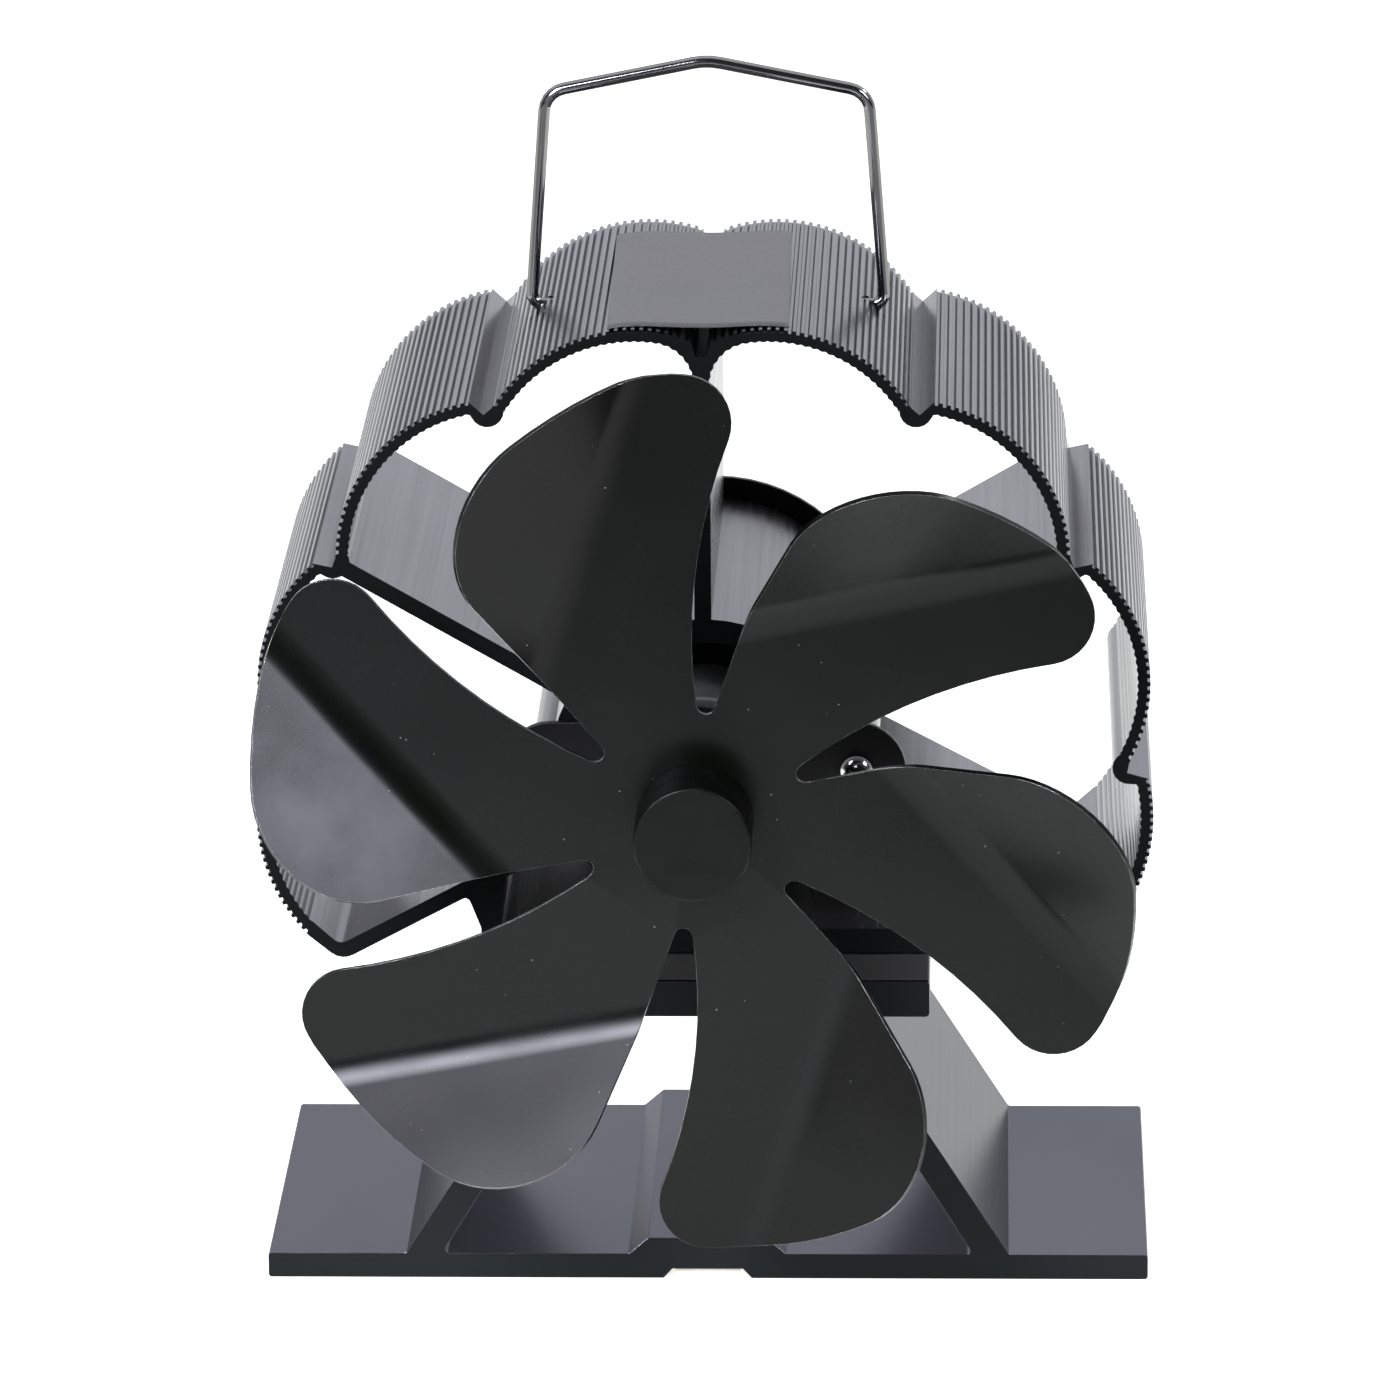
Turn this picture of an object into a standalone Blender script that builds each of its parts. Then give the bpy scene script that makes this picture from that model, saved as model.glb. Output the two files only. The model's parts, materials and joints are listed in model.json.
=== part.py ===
# Stove fan: a free-standing fan driven by the heat of the stove top it stands on.
# Lengths are in metres. +X is the viewer's right, +Y points away from the viewer, +Z is up.
# The origin lies on the resting plane, under the middle of everything from blades to back screws.
# The base and the heatsink are two lengths of aluminium section, both drawn in the XZ plane.

import math

import bmesh
import bpy
from mathutils import Matrix, Vector
from mathutils.geometry import delaunay_2d_cdt

# Gaps, cuts and rounding
SEAT_GAP = 0.0003
RUNNING_GAP = 0.0003
CUT_OVERRUN = 0.002
MERGE_GAP = 0.000002
FACET_SAG = 0.00005
ROUND_STEPS = 36
SMALL_ROUND_STEPS = 12
SHARP_ANGLE = math.radians(35)

# Length of both sections along Y, and how far their middle lies behind the middle of the whole fan
SECTION_LENGTH = 0.095
MIDDLE_SHIFT = 0.0269

# Base section
BASE_WIDTH = 0.180
BASE_PLATE = 0.00525
BASE_EDGE_ROUND = 0.0006
RIB_FOOT_HALF = 0.0161
RIB_TOP_HALF = 0.0121
RIB_HEIGHT = 0.00345
CHANNEL_MOUTH_HALF = 0.0090
CHANNEL_ROOF_HALF = 0.0072
CHANNEL_DEPTH = 0.0020
LEG_FOOT_OUTER = 0.0617
LEG_FOOT_INNER = 0.0543
LEG_TOP_OUTER = 0.0292
LEG_TOP_INNER = 0.0232
LEG_ROUND = 0.0008
PLATFORM_WIDTH = 0.0909
PLATFORM_UNDERSIDE = 0.0563
PLATFORM_THICK = 0.0075
PLATFORM_ROUND = 0.0009

# Layers between base and heatsink
FRAME_WIDTH = 0.0906
FRAME_THICK = 0.0056
TEG_SIDE = 0.040
TEG_THICK = 0.0040
TEG_PLATE = 0.0008
TEG_CORE_INSET = 0.0008
PAD_THICK = 0.0005
TEG_WINDOW_GAP = 0.0005
LEAD_SLOT_HALF = 0.0035

# Clamp screws, from below through the platform into the heatsink's foot
CLAMP_X = 0.0140
CLAMP_Y = 0.0340
CLAMP_SHANK_R = 0.00145
CLAMP_HEAD_R = 0.0028
CLAMP_HEAD_HEIGHT = 0.0020
CLAMP_FOOT_SKIN = 0.0012

# Heatsink section: foot and its walls
FOOT_WIDTH = 0.0908
FOOT_THICK = 0.0051
FOOT_EDGE_ROUND = 0.0004
WALL_FOOT_INNER = 0.0417
WALL_TOP_OUTER = 0.0480
WALL_TOP_INNER = 0.0402

# Heatsink section: hub tube and screw bosses
HUB_HEIGHT = 0.1091
HUB_OUTER_R = 0.0310
HUB_INNER_R = 0.0261
BOSS_X = 0.0308
BOSS_R = 0.0044
BOSS_BORE_R = 0.0017

# Heatsink section: ribs, given by their angle about the hub
TOP_RIB_THICK = 0.0034
TOP_RIB_FILLET = 0.0086
UPPER_RIB_ANGLE = math.radians(30)
UPPER_RIB_THICK = 0.0033
LOWER_RIB_ANGLE = math.radians(-28)
LOWER_RIB_THICK = 0.0032
RIB_ROUND = 0.0010
LOWER_CORNER_ROUND = 0.0040
LOWER_CORNER_INNER_ROUND = 0.0022

# Heatsink section: ring of eight lobes, each leaning towards the top
LOBE_SPAN = math.radians(30)
LOBE_CENTRE_R = 0.0591
LOBE_LEAN = math.radians(17.0)
LOBE_R = 0.0333
LOW_LOBE_CENTRE_R = 0.0557
LOW_LOBE_LEAN = math.radians(18.9)
LOW_LOBE_R = 0.0359
LOBE_WALL = 0.0027
VALLEY_R = 0.0852
VALLEY_FLOOR_HALF = math.radians(0.70)
VALLEY_FLANK = math.radians(0.75)
BEAD_CENTRE_R = 0.0856
BEAD_R = 0.0034
BEAD_LOW_TURN = math.radians(95)
BEAD_HIGH_TURN = math.radians(62)
FLUTE_PITCH = 0.00166
FLUTE_DEPTH = 0.00065
FLUTE_POINT_SHARES = ((0.00, 0.0), (0.38, 0.0), (0.53, 1.0), (0.88, 1.0))
RIDGE_DEPTH = 0.00028
RIDGE_POINT_SHARES = ((0.0, 0.0), (0.5, 1.0))
SMOOTH_STRIP = 0.0045

# Wire handle
WIRE_R = 0.00125
HANDLE_PIVOT_Y = 0.0040
HANDLE_PIVOT_HEIGHT = 0.1925
HANDLE_PIVOT_HALF = 0.0361
HANDLE_HOOK_END = 0.0250
HANDLE_SHOULDER_HALF = 0.0328
HANDLE_SHOULDER_HEIGHT = 0.2367
HANDLE_PEAK_HEIGHT = 0.2433
HANDLE_HOOK_ROUND = 0.0022
HANDLE_SHOULDER_ROUND = 0.0050
HANDLE_PEAK_ROUND = 0.0140
HANDLE_HOLE_GAP = 0.00055

# Front bracket
BRACKET_THICK = 0.0015
BRACKET_END_R = 0.0099
BRACKET_DISC_R = 0.0128
BRACKET_SCREW_HEAD_R = 0.00325
BRACKET_SCREW_HEAD_HEIGHT = 0.0020
BRACKET_SCREW_SHANK_R = 0.0014
BRACKET_SCREW_LENGTH = 0.0095

# Motor; its shaft stands a little left of the hub tube's middle
MOTOR_X = -0.0008
MOTOR_R = 0.0148
MOTOR_LENGTH = 0.0245
MOTOR_WALL = 0.0010
MOTOR_EDGE_ROUND = 0.0008
BELL_THICK = 0.0030
BELL_BOSS_R = 0.0045
BELL_BOSS_HEIGHT = 0.0016
BUSH_R = 0.0027
BUSH_INNER_STEP = 0.0008
MAGNET_THICK = 0.0022
MAGNET_LENGTH = 0.0160
MAGNET_HALF_ANGLE = math.radians(62)
ARMATURE_R = 0.0108
ARMATURE_LENGTH = 0.0120
ARMATURE_FRONT_SPACE = 0.0035
COMMUTATOR_R = 0.0034
COMMUTATOR_LENGTH = 0.0030
TERMINAL_X = 0.0050
TERMINAL_WIDTH = 0.0028
TERMINAL_THICK = 0.0005
TERMINAL_LENGTH = 0.0052
MOTOR_SCREW_X = 0.0080
MOTOR_SCREW_SHANK_R = 0.0010
MOTOR_SCREW_HEAD_R = 0.0020
MOTOR_SCREW_HEAD_HEIGHT = 0.0014
MOTOR_SCREW_LENGTH = 0.0036
SHAFT_R = 0.0015
SHAFT_TAIL = 0.0012

# Rear cover
COVER_R = 0.03515
COVER_THICK = 0.0015
COVER_SLOT_TOP = 0.0180
COVER_SCREW_HEAD_R = 0.0029
COVER_SCREW_HEAD_HEIGHT = 0.0019
COVER_SCREW_SHANK_R = 0.0014
COVER_SCREW_LENGTH = 0.0095

# Fan
SHEET_PLANE_Y = -0.0843
SHEET_THICK = 0.0010
BLADE_COUNT = 6
FIRST_BLADE_ANGLE = math.radians(88.0)
BLADE_R = 0.0910
BLADE_ROOT_R = 0.0240
BLADE_FLAT_ROOT_ANGLE = math.radians(0.85)
BLADE_FLAT_ARCH = 0.0033
BLADE_FLAT_END_X = 0.0778
BLADE_FLAT_END_Z = -0.0045
BLADE_TIP_ROUND = 0.0098
BLADE_FLAP_ANGLE = math.radians(42.8)
BLADE_FLAP_OFFSET = 0.00375
BLADE_FLAP_CORNER_R = 0.0216
SLOT_BOTTOM_R = 0.0222
SLOT_MIDDLE_ANGLE = math.radians(-3.8)
BEND_INNER_X = 0.0280
BEND_INNER_Z = 0.0267
BEND_OUTER_X = 0.0880
BEND_OUTER_Z = 0.00955
BEND_R = 0.0132
BEND_ANGLE = math.radians(38.9)
BEND_STRIPS = 6
LEAN_START = 0.0220
BLADE_LEANS = tuple(math.radians(angle) for angle in (0.8, 3.6, 6.1, 4.2, 0.9, -0.6))

# Fan hub, collar and set screw
FAN_HUB_R = 0.0117
FAN_HUB_LENGTH = 0.0159
FAN_HUB_EDGE_ROUND = 0.0006
FAN_HUB_END_WALL = 0.0030
COLLAR_R = 0.0080
COLLAR_LENGTH = 0.0095
SET_SCREW_R = 0.00135
SET_SCREW_LENGTH = 0.0052

# Bimetal strip under the base and its rivet
STRIP_WIDTH = 0.0134
STRIP_THICK = 0.0005
STRIP_LENGTH = 0.0930
RIVET_Y = 0.0340
RIVET_HEAD_R = 0.0024
RIVET_HEAD_HEIGHT = 0.0007
RIVET_SHANK_R = 0.0010
RIVET_SHANK_LENGTH = 0.0036

# Leads from the generator module to the motor
LEAD_R = 0.0007
LEAD_X = 0.0016
LEAD_STEP = 0.0034

# Levels and planes that follow from the sizes above
PLATFORM_TOP = PLATFORM_UNDERSIDE + PLATFORM_THICK
FRAME_BOTTOM = PLATFORM_TOP + SEAT_GAP
FOOT_BOTTOM = FRAME_BOTTOM + FRAME_THICK + SEAT_GAP
FOOT_TOP = FOOT_BOTTOM + FOOT_THICK
SECTION_FRONT = -SECTION_LENGTH / 2
SECTION_BACK = SECTION_LENGTH / 2
BRACKET_BACK = SECTION_FRONT - SEAT_GAP
BRACKET_FRONT = BRACKET_BACK - BRACKET_THICK
MOTOR_BACK = SECTION_FRONT + MOTOR_LENGTH
COVER_FRONT = SECTION_BACK + SEAT_GAP
COVER_BACK = COVER_FRONT + COVER_THICK
SHEET_FRONT = SHEET_PLANE_Y - SHEET_THICK / 2
SHEET_BACK = SHEET_PLANE_Y + SHEET_THICK / 2
FAN_HUB_BACK = SHEET_FRONT - SEAT_GAP
SHAFT_FRONT = FAN_HUB_BACK - FAN_HUB_LENGTH + FAN_HUB_END_WALL + RUNNING_GAP
FACING_VIEWER = (math.pi / 2, 0, 0)
FACING_AWAY = (-math.pi / 2, 0, 0)


# Helpers for meshes, materials and objects

def clear_scene():
    for item in list(bpy.data.objects):
        bpy.data.objects.remove(item, do_unlink=True)


def make_material(name, colour, roughness, metallic):
    material = bpy.data.materials.new(name)
    material.use_nodes = True
    shader = material.node_tree.nodes["Principled BSDF"]
    shader.inputs["Base Color"].default_value = (*colour, 1)
    shader.inputs["Roughness"].default_value = roughness
    shader.inputs["Metallic"].default_value = metallic
    return material


def add_axis(name, location, carrier=None):
    axis = bpy.data.objects.new(name, None)
    bpy.context.scene.collection.objects.link(axis)
    axis.parent = carrier
    axis.location = location
    return axis


def add_object(name, data, material, location=(0, 0, 0), rotation=(0, 0, 0)):
    """Adds a piece at a location counted from the middle of the sections."""
    item = bpy.data.objects.new(name, data)
    bpy.context.scene.collection.objects.link(item)
    item.parent = section_middle
    item.location = location
    item.rotation_euler = rotation
    data.materials.append(material)
    return item


def finish_mesh(name, shape, smooth):
    bmesh.ops.recalc_face_normals(shape, faces=shape.faces[:])
    mesh = bpy.data.meshes.new(name)
    shape.to_mesh(mesh)
    shape.free()
    if smooth:
        mesh.shade_smooth()
        mesh.set_sharp_from_angle(angle=SHARP_ANGLE)
    return mesh


def polar(radius, angle, centre=(0, 0)):
    return (centre[0] + radius * math.cos(angle), centre[1] + radius * math.sin(angle))


def arc(radius, start, end, centre=(0, 0)):
    """Points along an arc, close enough together for its facets to stay within the facet sag."""
    step = 2 * math.acos(1 - FACET_SAG / radius)
    count = max(1, math.ceil(abs(end - start) / step))
    return [polar(radius, start + (end - start) * i / count, centre) for i in range(count + 1)]


def circle(radius, centre=(0, 0)):
    return arc(radius, 0, math.tau, centre)[:-1]


def rounded_outline(corners):
    """Outline through corners (x, z, round radius); a radius of zero leaves the corner sharp."""
    outline = []
    for i, (x, z, radius) in enumerate(corners):
        corner = Vector((x, z))
        if radius == 0:
            outline.append(corner[:])
            continue
        before = (Vector(corners[i - 1][:2]) - corner).normalized()
        after = (Vector(corners[(i + 1) % len(corners)][:2]) - corner).normalized()
        half = before.angle(after) / 2
        middle = corner + (before + after).normalized() * (radius / math.sin(half))
        first = corner + before * (radius / math.tan(half)) - middle
        last = corner + after * (radius / math.tan(half)) - middle
        start = math.atan2(first.y, first.x)
        turn = (math.atan2(last.y, last.x) - start + math.pi) % math.tau - math.pi
        outline += arc(radius, start, start + turn, middle)
    return outline


def mirrored(outline):
    return [(-x, z) for x, z in reversed(outline)]


def is_inside(point, loop):
    """Whether a point lies inside a closed loop, by counting the edges to its right."""
    crossings = 0
    for (x1, z1), (x2, z2) in zip(loop, loop[1:] + loop[:1]):
        if (z1 > point.y) != (z2 > point.y):
            crossings += x1 + (x2 - x1) * (point.y - z1) / (z2 - z1) > point.x
    return crossings % 2 == 1


def section_mesh(name, outline, holes, length, smooth=False):
    """Solid of constant section: outline and holes in XZ, drawn out along +Y."""
    points = []
    edges = []
    for loop in [outline] + holes:
        first = len(points)
        points += [Vector(point) for point in loop]
        edges += [(first + i, first + (i + 1) % len(loop)) for i in range(len(loop))]
    corners_2d, _, faces, *_ = delaunay_2d_cdt(points, edges, [], 1, MERGE_GAP)
    shape = bmesh.new()
    corners = [shape.verts.new((point.x, 0, point.y)) for point in corners_2d]
    caps = []
    for face in faces:
        middle = sum((corners_2d[i] for i in face), Vector((0, 0))) / len(face)
        if not any(is_inside(middle, hole) for hole in holes):
            caps.append(shape.faces.new([corners[i] for i in face]))
    grown = bmesh.ops.extrude_face_region(shape, geom=caps, use_keep_orig=True)
    moved = [part for part in grown["geom"] if isinstance(part, bmesh.types.BMVert)]
    bmesh.ops.translate(shape, verts=moved, vec=(0, length, 0))
    return finish_mesh(name, shape, smooth)


def turned_mesh(name, profile, steps=SMALL_ROUND_STEPS):
    """Turned solid: the closed profile (along, radius) goes round the local Z axis."""
    shape = bmesh.new()
    corners = [shape.verts.new((radius, 0, along)) for along, radius in profile]
    rim = []
    for i, corner in enumerate(corners):
        after = corners[(i + 1) % len(corners)]
        if profile[i][1] > 0 or profile[(i + 1) % len(corners)][1] > 0:
            rim.append(shape.edges.new((corner, after)))
    bmesh.ops.spin(shape, geom=corners + rim, cent=(0, 0, 0), axis=(0, 0, 1),
                   angle=math.tau, steps=steps, use_merge=True)
    bmesh.ops.remove_doubles(shape, verts=shape.verts[:], dist=MERGE_GAP)
    return finish_mesh(name, shape, True)


def rods_mesh(name, rods, steps=SMALL_ROUND_STEPS):
    """Several round rods in one mesh; each is (radius, start, end)."""
    shape = bmesh.new()
    for radius, start, end in rods:
        span = Vector(end) - Vector(start)
        made = bmesh.ops.create_cone(shape, cap_ends=True, segments=steps, radius1=radius,
                                     radius2=radius, depth=span.length)
        turn = Vector((0, 0, 1)).rotation_difference(span).to_matrix()
        bmesh.ops.rotate(shape, verts=made["verts"], cent=(0, 0, 0), matrix=turn)
        bmesh.ops.translate(shape, verts=made["verts"], vec=(Vector(start) + Vector(end)) / 2)
    return finish_mesh(name, shape, False)


def cut_with(item, cutter):
    cut = item.modifiers.new(cutter.name, "BOOLEAN")
    cut.operation = "DIFFERENCE"
    cut.solver = "EXACT"
    cut.object = cutter


def add_cutter(name, mesh, material):
    cutter = add_object(name, mesh, material)
    cutter.hide_render = True
    cutter.display_type = "WIRE"
    return cutter


def pan_screw_mesh(name, head_r, head_height, shank_r, shank_length):
    """Pan-head screw: the head stands on local +Z above zero, the shank runs below."""
    crown = head_height * 0.45
    return turned_mesh(name, [
        (-shank_length, 0),
        (-shank_length, shank_r - shank_r / 4),
        (-shank_length + shank_r / 2, shank_r),
        (0, shank_r),
        (0, head_r),
        (head_height - crown, head_r),
        (head_height - crown / 3, head_r - crown / 2),
        (head_height, head_r - crown * 1.6),
        (head_height, 0),
    ])


def tube_curve(name, points, radius, bevel_resolution):
    curve = bpy.data.curves.new(name, "CURVE")
    curve.dimensions = "3D"
    curve.bevel_depth = radius
    curve.bevel_resolution = bevel_resolution
    curve.use_fill_caps = True
    spline = curve.splines.new("POLY")
    spline.points.add(len(points) - 1)
    for point, place in zip(spline.points, points):
        point.co = (*place, 1)
    return curve


# The empty that carries every piece, and the materials

clear_scene()
section_middle = add_axis("section_middle", (0, MIDDLE_SHIFT, 0))

BASE_ALUMINIUM = make_material("base_aluminium", (0.075, 0.075, 0.080), 0.45, 0.6)
SINK_ALUMINIUM = make_material("heatsink_aluminium", (0.055, 0.055, 0.062), 0.42, 0.6)
FAN_BLACK = make_material("fan_black", (0.020, 0.020, 0.021), 0.38, 0.5)
HUB_BLACK = make_material("hub_black", (0.012, 0.012, 0.013), 0.30, 0.5)
BRACKET_BLACK = make_material("bracket_black", (0.015, 0.015, 0.016), 0.35, 0.5)
COVER_BLACK = make_material("cover_black", (0.015, 0.015, 0.016), 0.45, 0.3)
FRAME_BLACK = make_material("insulating_frame", (0.018, 0.018, 0.018), 0.70, 0.0)
POLISHED_STEEL = make_material("polished_steel", (0.62, 0.62, 0.63), 0.12, 1.0)
SCREW_CHROME = make_material("screw_chrome", (0.70, 0.70, 0.70), 0.15, 1.0)
MOTOR_STEEL = make_material("motor_steel", (0.45, 0.46, 0.46), 0.30, 1.0)
SHAFT_STEEL = make_material("shaft_steel", (0.55, 0.55, 0.56), 0.20, 1.0)
MAGNET_GREY = make_material("magnet_grey", (0.060, 0.060, 0.065), 0.60, 0.2)
WINDING_COPPER = make_material("armature_copper", (0.50, 0.22, 0.10), 0.40, 0.8)
BELL_PLASTIC = make_material("end_bell_plastic", (0.03, 0.03, 0.03), 0.50, 0.0)
BUSH_BRONZE = make_material("bush_bronze", (0.50, 0.33, 0.14), 0.35, 1.0)
TERMINAL_BRASS = make_material("terminal_brass", (0.65, 0.50, 0.20), 0.30, 1.0)
CERAMIC_WHITE = make_material("generator_ceramic", (0.80, 0.80, 0.78), 0.55, 0.0)
PAD_GREY = make_material("thermal_pad", (0.25, 0.25, 0.26), 0.80, 0.0)
BIMETAL = make_material("bimetal", (0.50, 0.48, 0.44), 0.30, 1.0)
LEAD_RED = make_material("lead_red", (0.55, 0.02, 0.02), 0.45, 0.0)
LEAD_BLACK = make_material("lead_black", (0.015, 0.015, 0.015), 0.45, 0.0)
CUTTER = make_material("cutter", (0.8, 0.2, 0.2), 0.50, 0.0)


# Base section: foot plate with middle rib, two sloping legs and the platform

def base_section():
    half = [
        (CHANNEL_ROOF_HALF, CHANNEL_DEPTH, 0),
        (CHANNEL_MOUTH_HALF, 0, 0),
        (BASE_WIDTH / 2, 0, BASE_EDGE_ROUND),
        (BASE_WIDTH / 2, BASE_PLATE, BASE_EDGE_ROUND),
        (LEG_FOOT_OUTER, BASE_PLATE, LEG_ROUND),
        (LEG_TOP_OUTER, PLATFORM_UNDERSIDE, LEG_ROUND),
        (PLATFORM_WIDTH / 2, PLATFORM_UNDERSIDE, PLATFORM_ROUND),
        (PLATFORM_WIDTH / 2, PLATFORM_TOP, BASE_EDGE_ROUND),
    ]
    outer = rounded_outline(half + [(-x, z, radius) for x, z, radius in reversed(half)])
    side = [
        (RIB_FOOT_HALF, BASE_PLATE, LEG_ROUND),
        (LEG_FOOT_INNER, BASE_PLATE, LEG_ROUND),
        (LEG_TOP_INNER, PLATFORM_UNDERSIDE, LEG_ROUND),
    ]
    top = [(-x, z, radius) for x, z, radius in reversed(side)]
    rib_top = BASE_PLATE + RIB_HEIGHT
    rib = [(-RIB_TOP_HALF, rib_top, BASE_EDGE_ROUND), (RIB_TOP_HALF, rib_top, BASE_EDGE_ROUND)]
    return outer, rounded_outline(side + top + rib)


base_outline, base_window = base_section()
base = add_object("base_extrusion",
                  section_mesh("base_extrusion", base_outline, [base_window], SECTION_LENGTH),
                  BASE_ALUMINIUM, (0, SECTION_FRONT, 0))


# Heatsink section: foot, walls, hub tube, ribs and the ring of fluted lobes

HUB = (0, HUB_HEIGHT)


def from_hub(radius, angle):
    return polar(radius, angle, HUB)


def lobe(index):
    """Start angle, circle centre and circle radius of a lobe on the right; lobe 0 is the lowest."""
    start = LOBE_SPAN * (index - 1)
    if index == 0:
        return start, from_hub(LOW_LOBE_CENTRE_R, start + LOW_LOBE_LEAN), LOW_LOBE_R
    return start, from_hub(LOBE_CENTRE_R, start + LOBE_LEAN), LOBE_R


def ray_to_circle(angle, centre, radius):
    """Distance from the hub centre, along a ray, to the far side of a circle."""
    x, z = centre[0], centre[1] - HUB_HEIGHT
    along = x * math.cos(angle) + z * math.sin(angle)
    across = x * math.sin(angle) - z * math.cos(angle)
    return along + math.sqrt(radius ** 2 - across ** 2)


def angle_on_circle(point, centre):
    return math.atan2(point[1] - centre[1], point[0] - centre[0])


def fluted_arc(centre, radius, start, end, depth, point_shares):
    """Arc with flutes cut into it, a whole number of them at about the flute pitch."""
    count = round(abs(end - start) * radius / FLUTE_PITCH)
    step = (end - start) / count
    points = []
    for i in range(count):
        for along_share, depth_share in point_shares:
            points.append(polar(radius - depth * depth_share, start + step * (i + along_share), centre))
    points.append(polar(radius, end, centre))
    return points


def rib_edge(radius, rib_angle, thick, side):
    """Point on a rib's flank at a distance from the hub; side is +1 above the rib, -1 below."""
    return from_hub(radius, rib_angle + side * math.asin(thick / 2 / radius))


def flank_meets_circle(rib_angle, thick, side, centre, radius):
    """Where a rib's flank, drawn outwards, leaves a circle."""
    direction = Vector((math.cos(rib_angle), math.sin(rib_angle)))
    upwards = Vector((-direction.y, direction.x))
    start = Vector(HUB) + upwards * (side * thick / 2)
    offset = start - Vector(centre)
    along = offset.dot(direction)
    reach = -along + math.sqrt(along ** 2 - offset.length_squared + radius ** 2)
    return (start + direction * reach)[:]


def lobe_outside(index):
    """Fluted outside of one lobe, from the valley below it to the valley above."""
    start, centre, radius = lobe(index)
    last_angle = start + LOBE_SPAN - VALLEY_FLOOR_HALF - VALLEY_FLANK
    last = from_hub(ray_to_circle(last_angle, centre, radius), last_angle)
    if index == 0:
        corner = flank_meets_circle(LOWER_RIB_ANGLE, LOWER_RIB_THICK, -1, centre, radius)
        first_turn = angle_on_circle(corner, centre) + (LOWER_CORNER_ROUND + SMOOTH_STRIP) / radius
        points = [(*corner, LOWER_CORNER_ROUND)]
    else:
        first_angle = start + VALLEY_FLOOR_HALF
        first = from_hub(ray_to_circle(first_angle, centre, radius), first_angle)
        first_turn = angle_on_circle(first, centre)
        points = []
    last_turn = angle_on_circle(last, centre)
    flutes = fluted_arc(centre, radius, first_turn, last_turn, FLUTE_DEPTH, FLUTE_POINT_SHARES)
    points += [(x, z, 0) for x, z in flutes]
    return points + [(*from_hub(VALLEY_R, start + LOBE_SPAN - VALLEY_FLOOR_HALF), 0)]


def heatsink_outline():
    half = [
        (FOOT_WIDTH / 2, FOOT_BOTTOM, FOOT_EDGE_ROUND),
        (FOOT_WIDTH / 2, FOOT_TOP, 0),
        (*lower_flank_at(WALL_TOP_OUTER), RIB_ROUND),
    ]
    for index in range(4):
        half += lobe_outside(index)
    return rounded_outline(half + [(-x, z, radius) for x, z, radius in reversed(half)])


def ring_inside(index, start, end):
    """Inside of a lobe's wall between two angles about the hub, with fine ridges."""
    _, centre, radius = lobe(index)
    inner = radius - LOBE_WALL
    first = angle_on_circle(from_hub(ray_to_circle(start, centre, inner), start), centre)
    last = angle_on_circle(from_hub(ray_to_circle(end, centre, inner), end), centre)
    return fluted_arc(centre, inner, first, last, -RIDGE_DEPTH, RIDGE_POINT_SHARES)


def bead(angle, low_turn, high_turn):
    """Round bead inside a valley, from one turn below its innermost point to another above it."""
    centre = from_hub(BEAD_CENTRE_R, angle)
    middle = angle + math.pi
    return arc(BEAD_R, middle - low_turn, middle - high_turn, centre)


def hub_angle(point):
    return math.atan2(point[1] - HUB_HEIGHT, point[0])


def hub_flank(rib_angle, thick, side):
    return hub_angle(rib_edge(HUB_OUTER_R, rib_angle, thick, side))


def lower_flank_at(x):
    """Point on the underside of the right lower rib at a distance from the middle."""
    drop = LOWER_RIB_THICK / 2 / math.cos(LOWER_RIB_ANGLE)
    return (x, HUB_HEIGHT + x * math.tan(LOWER_RIB_ANGLE) - drop)


def side_window():
    """Opening between the lower rib and the upper rib, with the screw boss and one whole bead."""
    low_flank = hub_flank(LOWER_RIB_ANGLE, LOWER_RIB_THICK, 1)
    high_flank = hub_flank(UPPER_RIB_ANGLE, UPPER_RIB_THICK, -1)
    boss_turn = 2 * math.asin(BOSS_R / 2 / HUB_OUTER_R)
    hub_side = arc(HUB_OUTER_R, high_flank, boss_turn, HUB)
    hub_side += arc(BOSS_R, math.pi / 2, -math.pi / 2, (BOSS_X, HUB_HEIGHT))
    hub_side += arc(HUB_OUTER_R, -boss_turn, low_flank, HUB)
    _, centre, radius = lobe(0)
    corner = flank_meets_circle(LOWER_RIB_ANGLE, LOWER_RIB_THICK, 1, centre, radius - LOBE_WALL)
    smooth_turn = (LOWER_CORNER_INNER_ROUND + SMOOTH_STRIP) / VALLEY_R
    rib_turn = math.asin(UPPER_RIB_THICK / 2 / BEAD_R)
    middle_bead = bead(0, -BEAD_LOW_TURN, BEAD_HIGH_TURN)
    rib_bead = bead(UPPER_RIB_ANGLE, -BEAD_LOW_TURN, -rib_turn)
    ring_side = ring_inside(0, hub_angle(corner) + smooth_turn, hub_angle(middle_bead[0]))
    ring_side += middle_bead
    ring_side += ring_inside(1, hub_angle(middle_bead[-1]), hub_angle(rib_bead[0]))
    ring_side += rib_bead
    corners = [(x, z, 0) for x, z in hub_side]
    corners += [(*corner, LOWER_CORNER_INNER_ROUND)]
    corners += [(x, z, 0) for x, z in ring_side]
    return rounded_outline(corners)


def top_rib_fillet(centre, radius):
    """Centre of the fillet from the inside of a circle into the top rib's flank, and its first angle."""
    x = TOP_RIB_THICK / 2 + TOP_RIB_FILLET
    rise = math.sqrt((radius - TOP_RIB_FILLET) ** 2 - (x - centre[0]) ** 2)
    return (x, centre[1] + rise), math.atan2(rise, x - centre[0])


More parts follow.
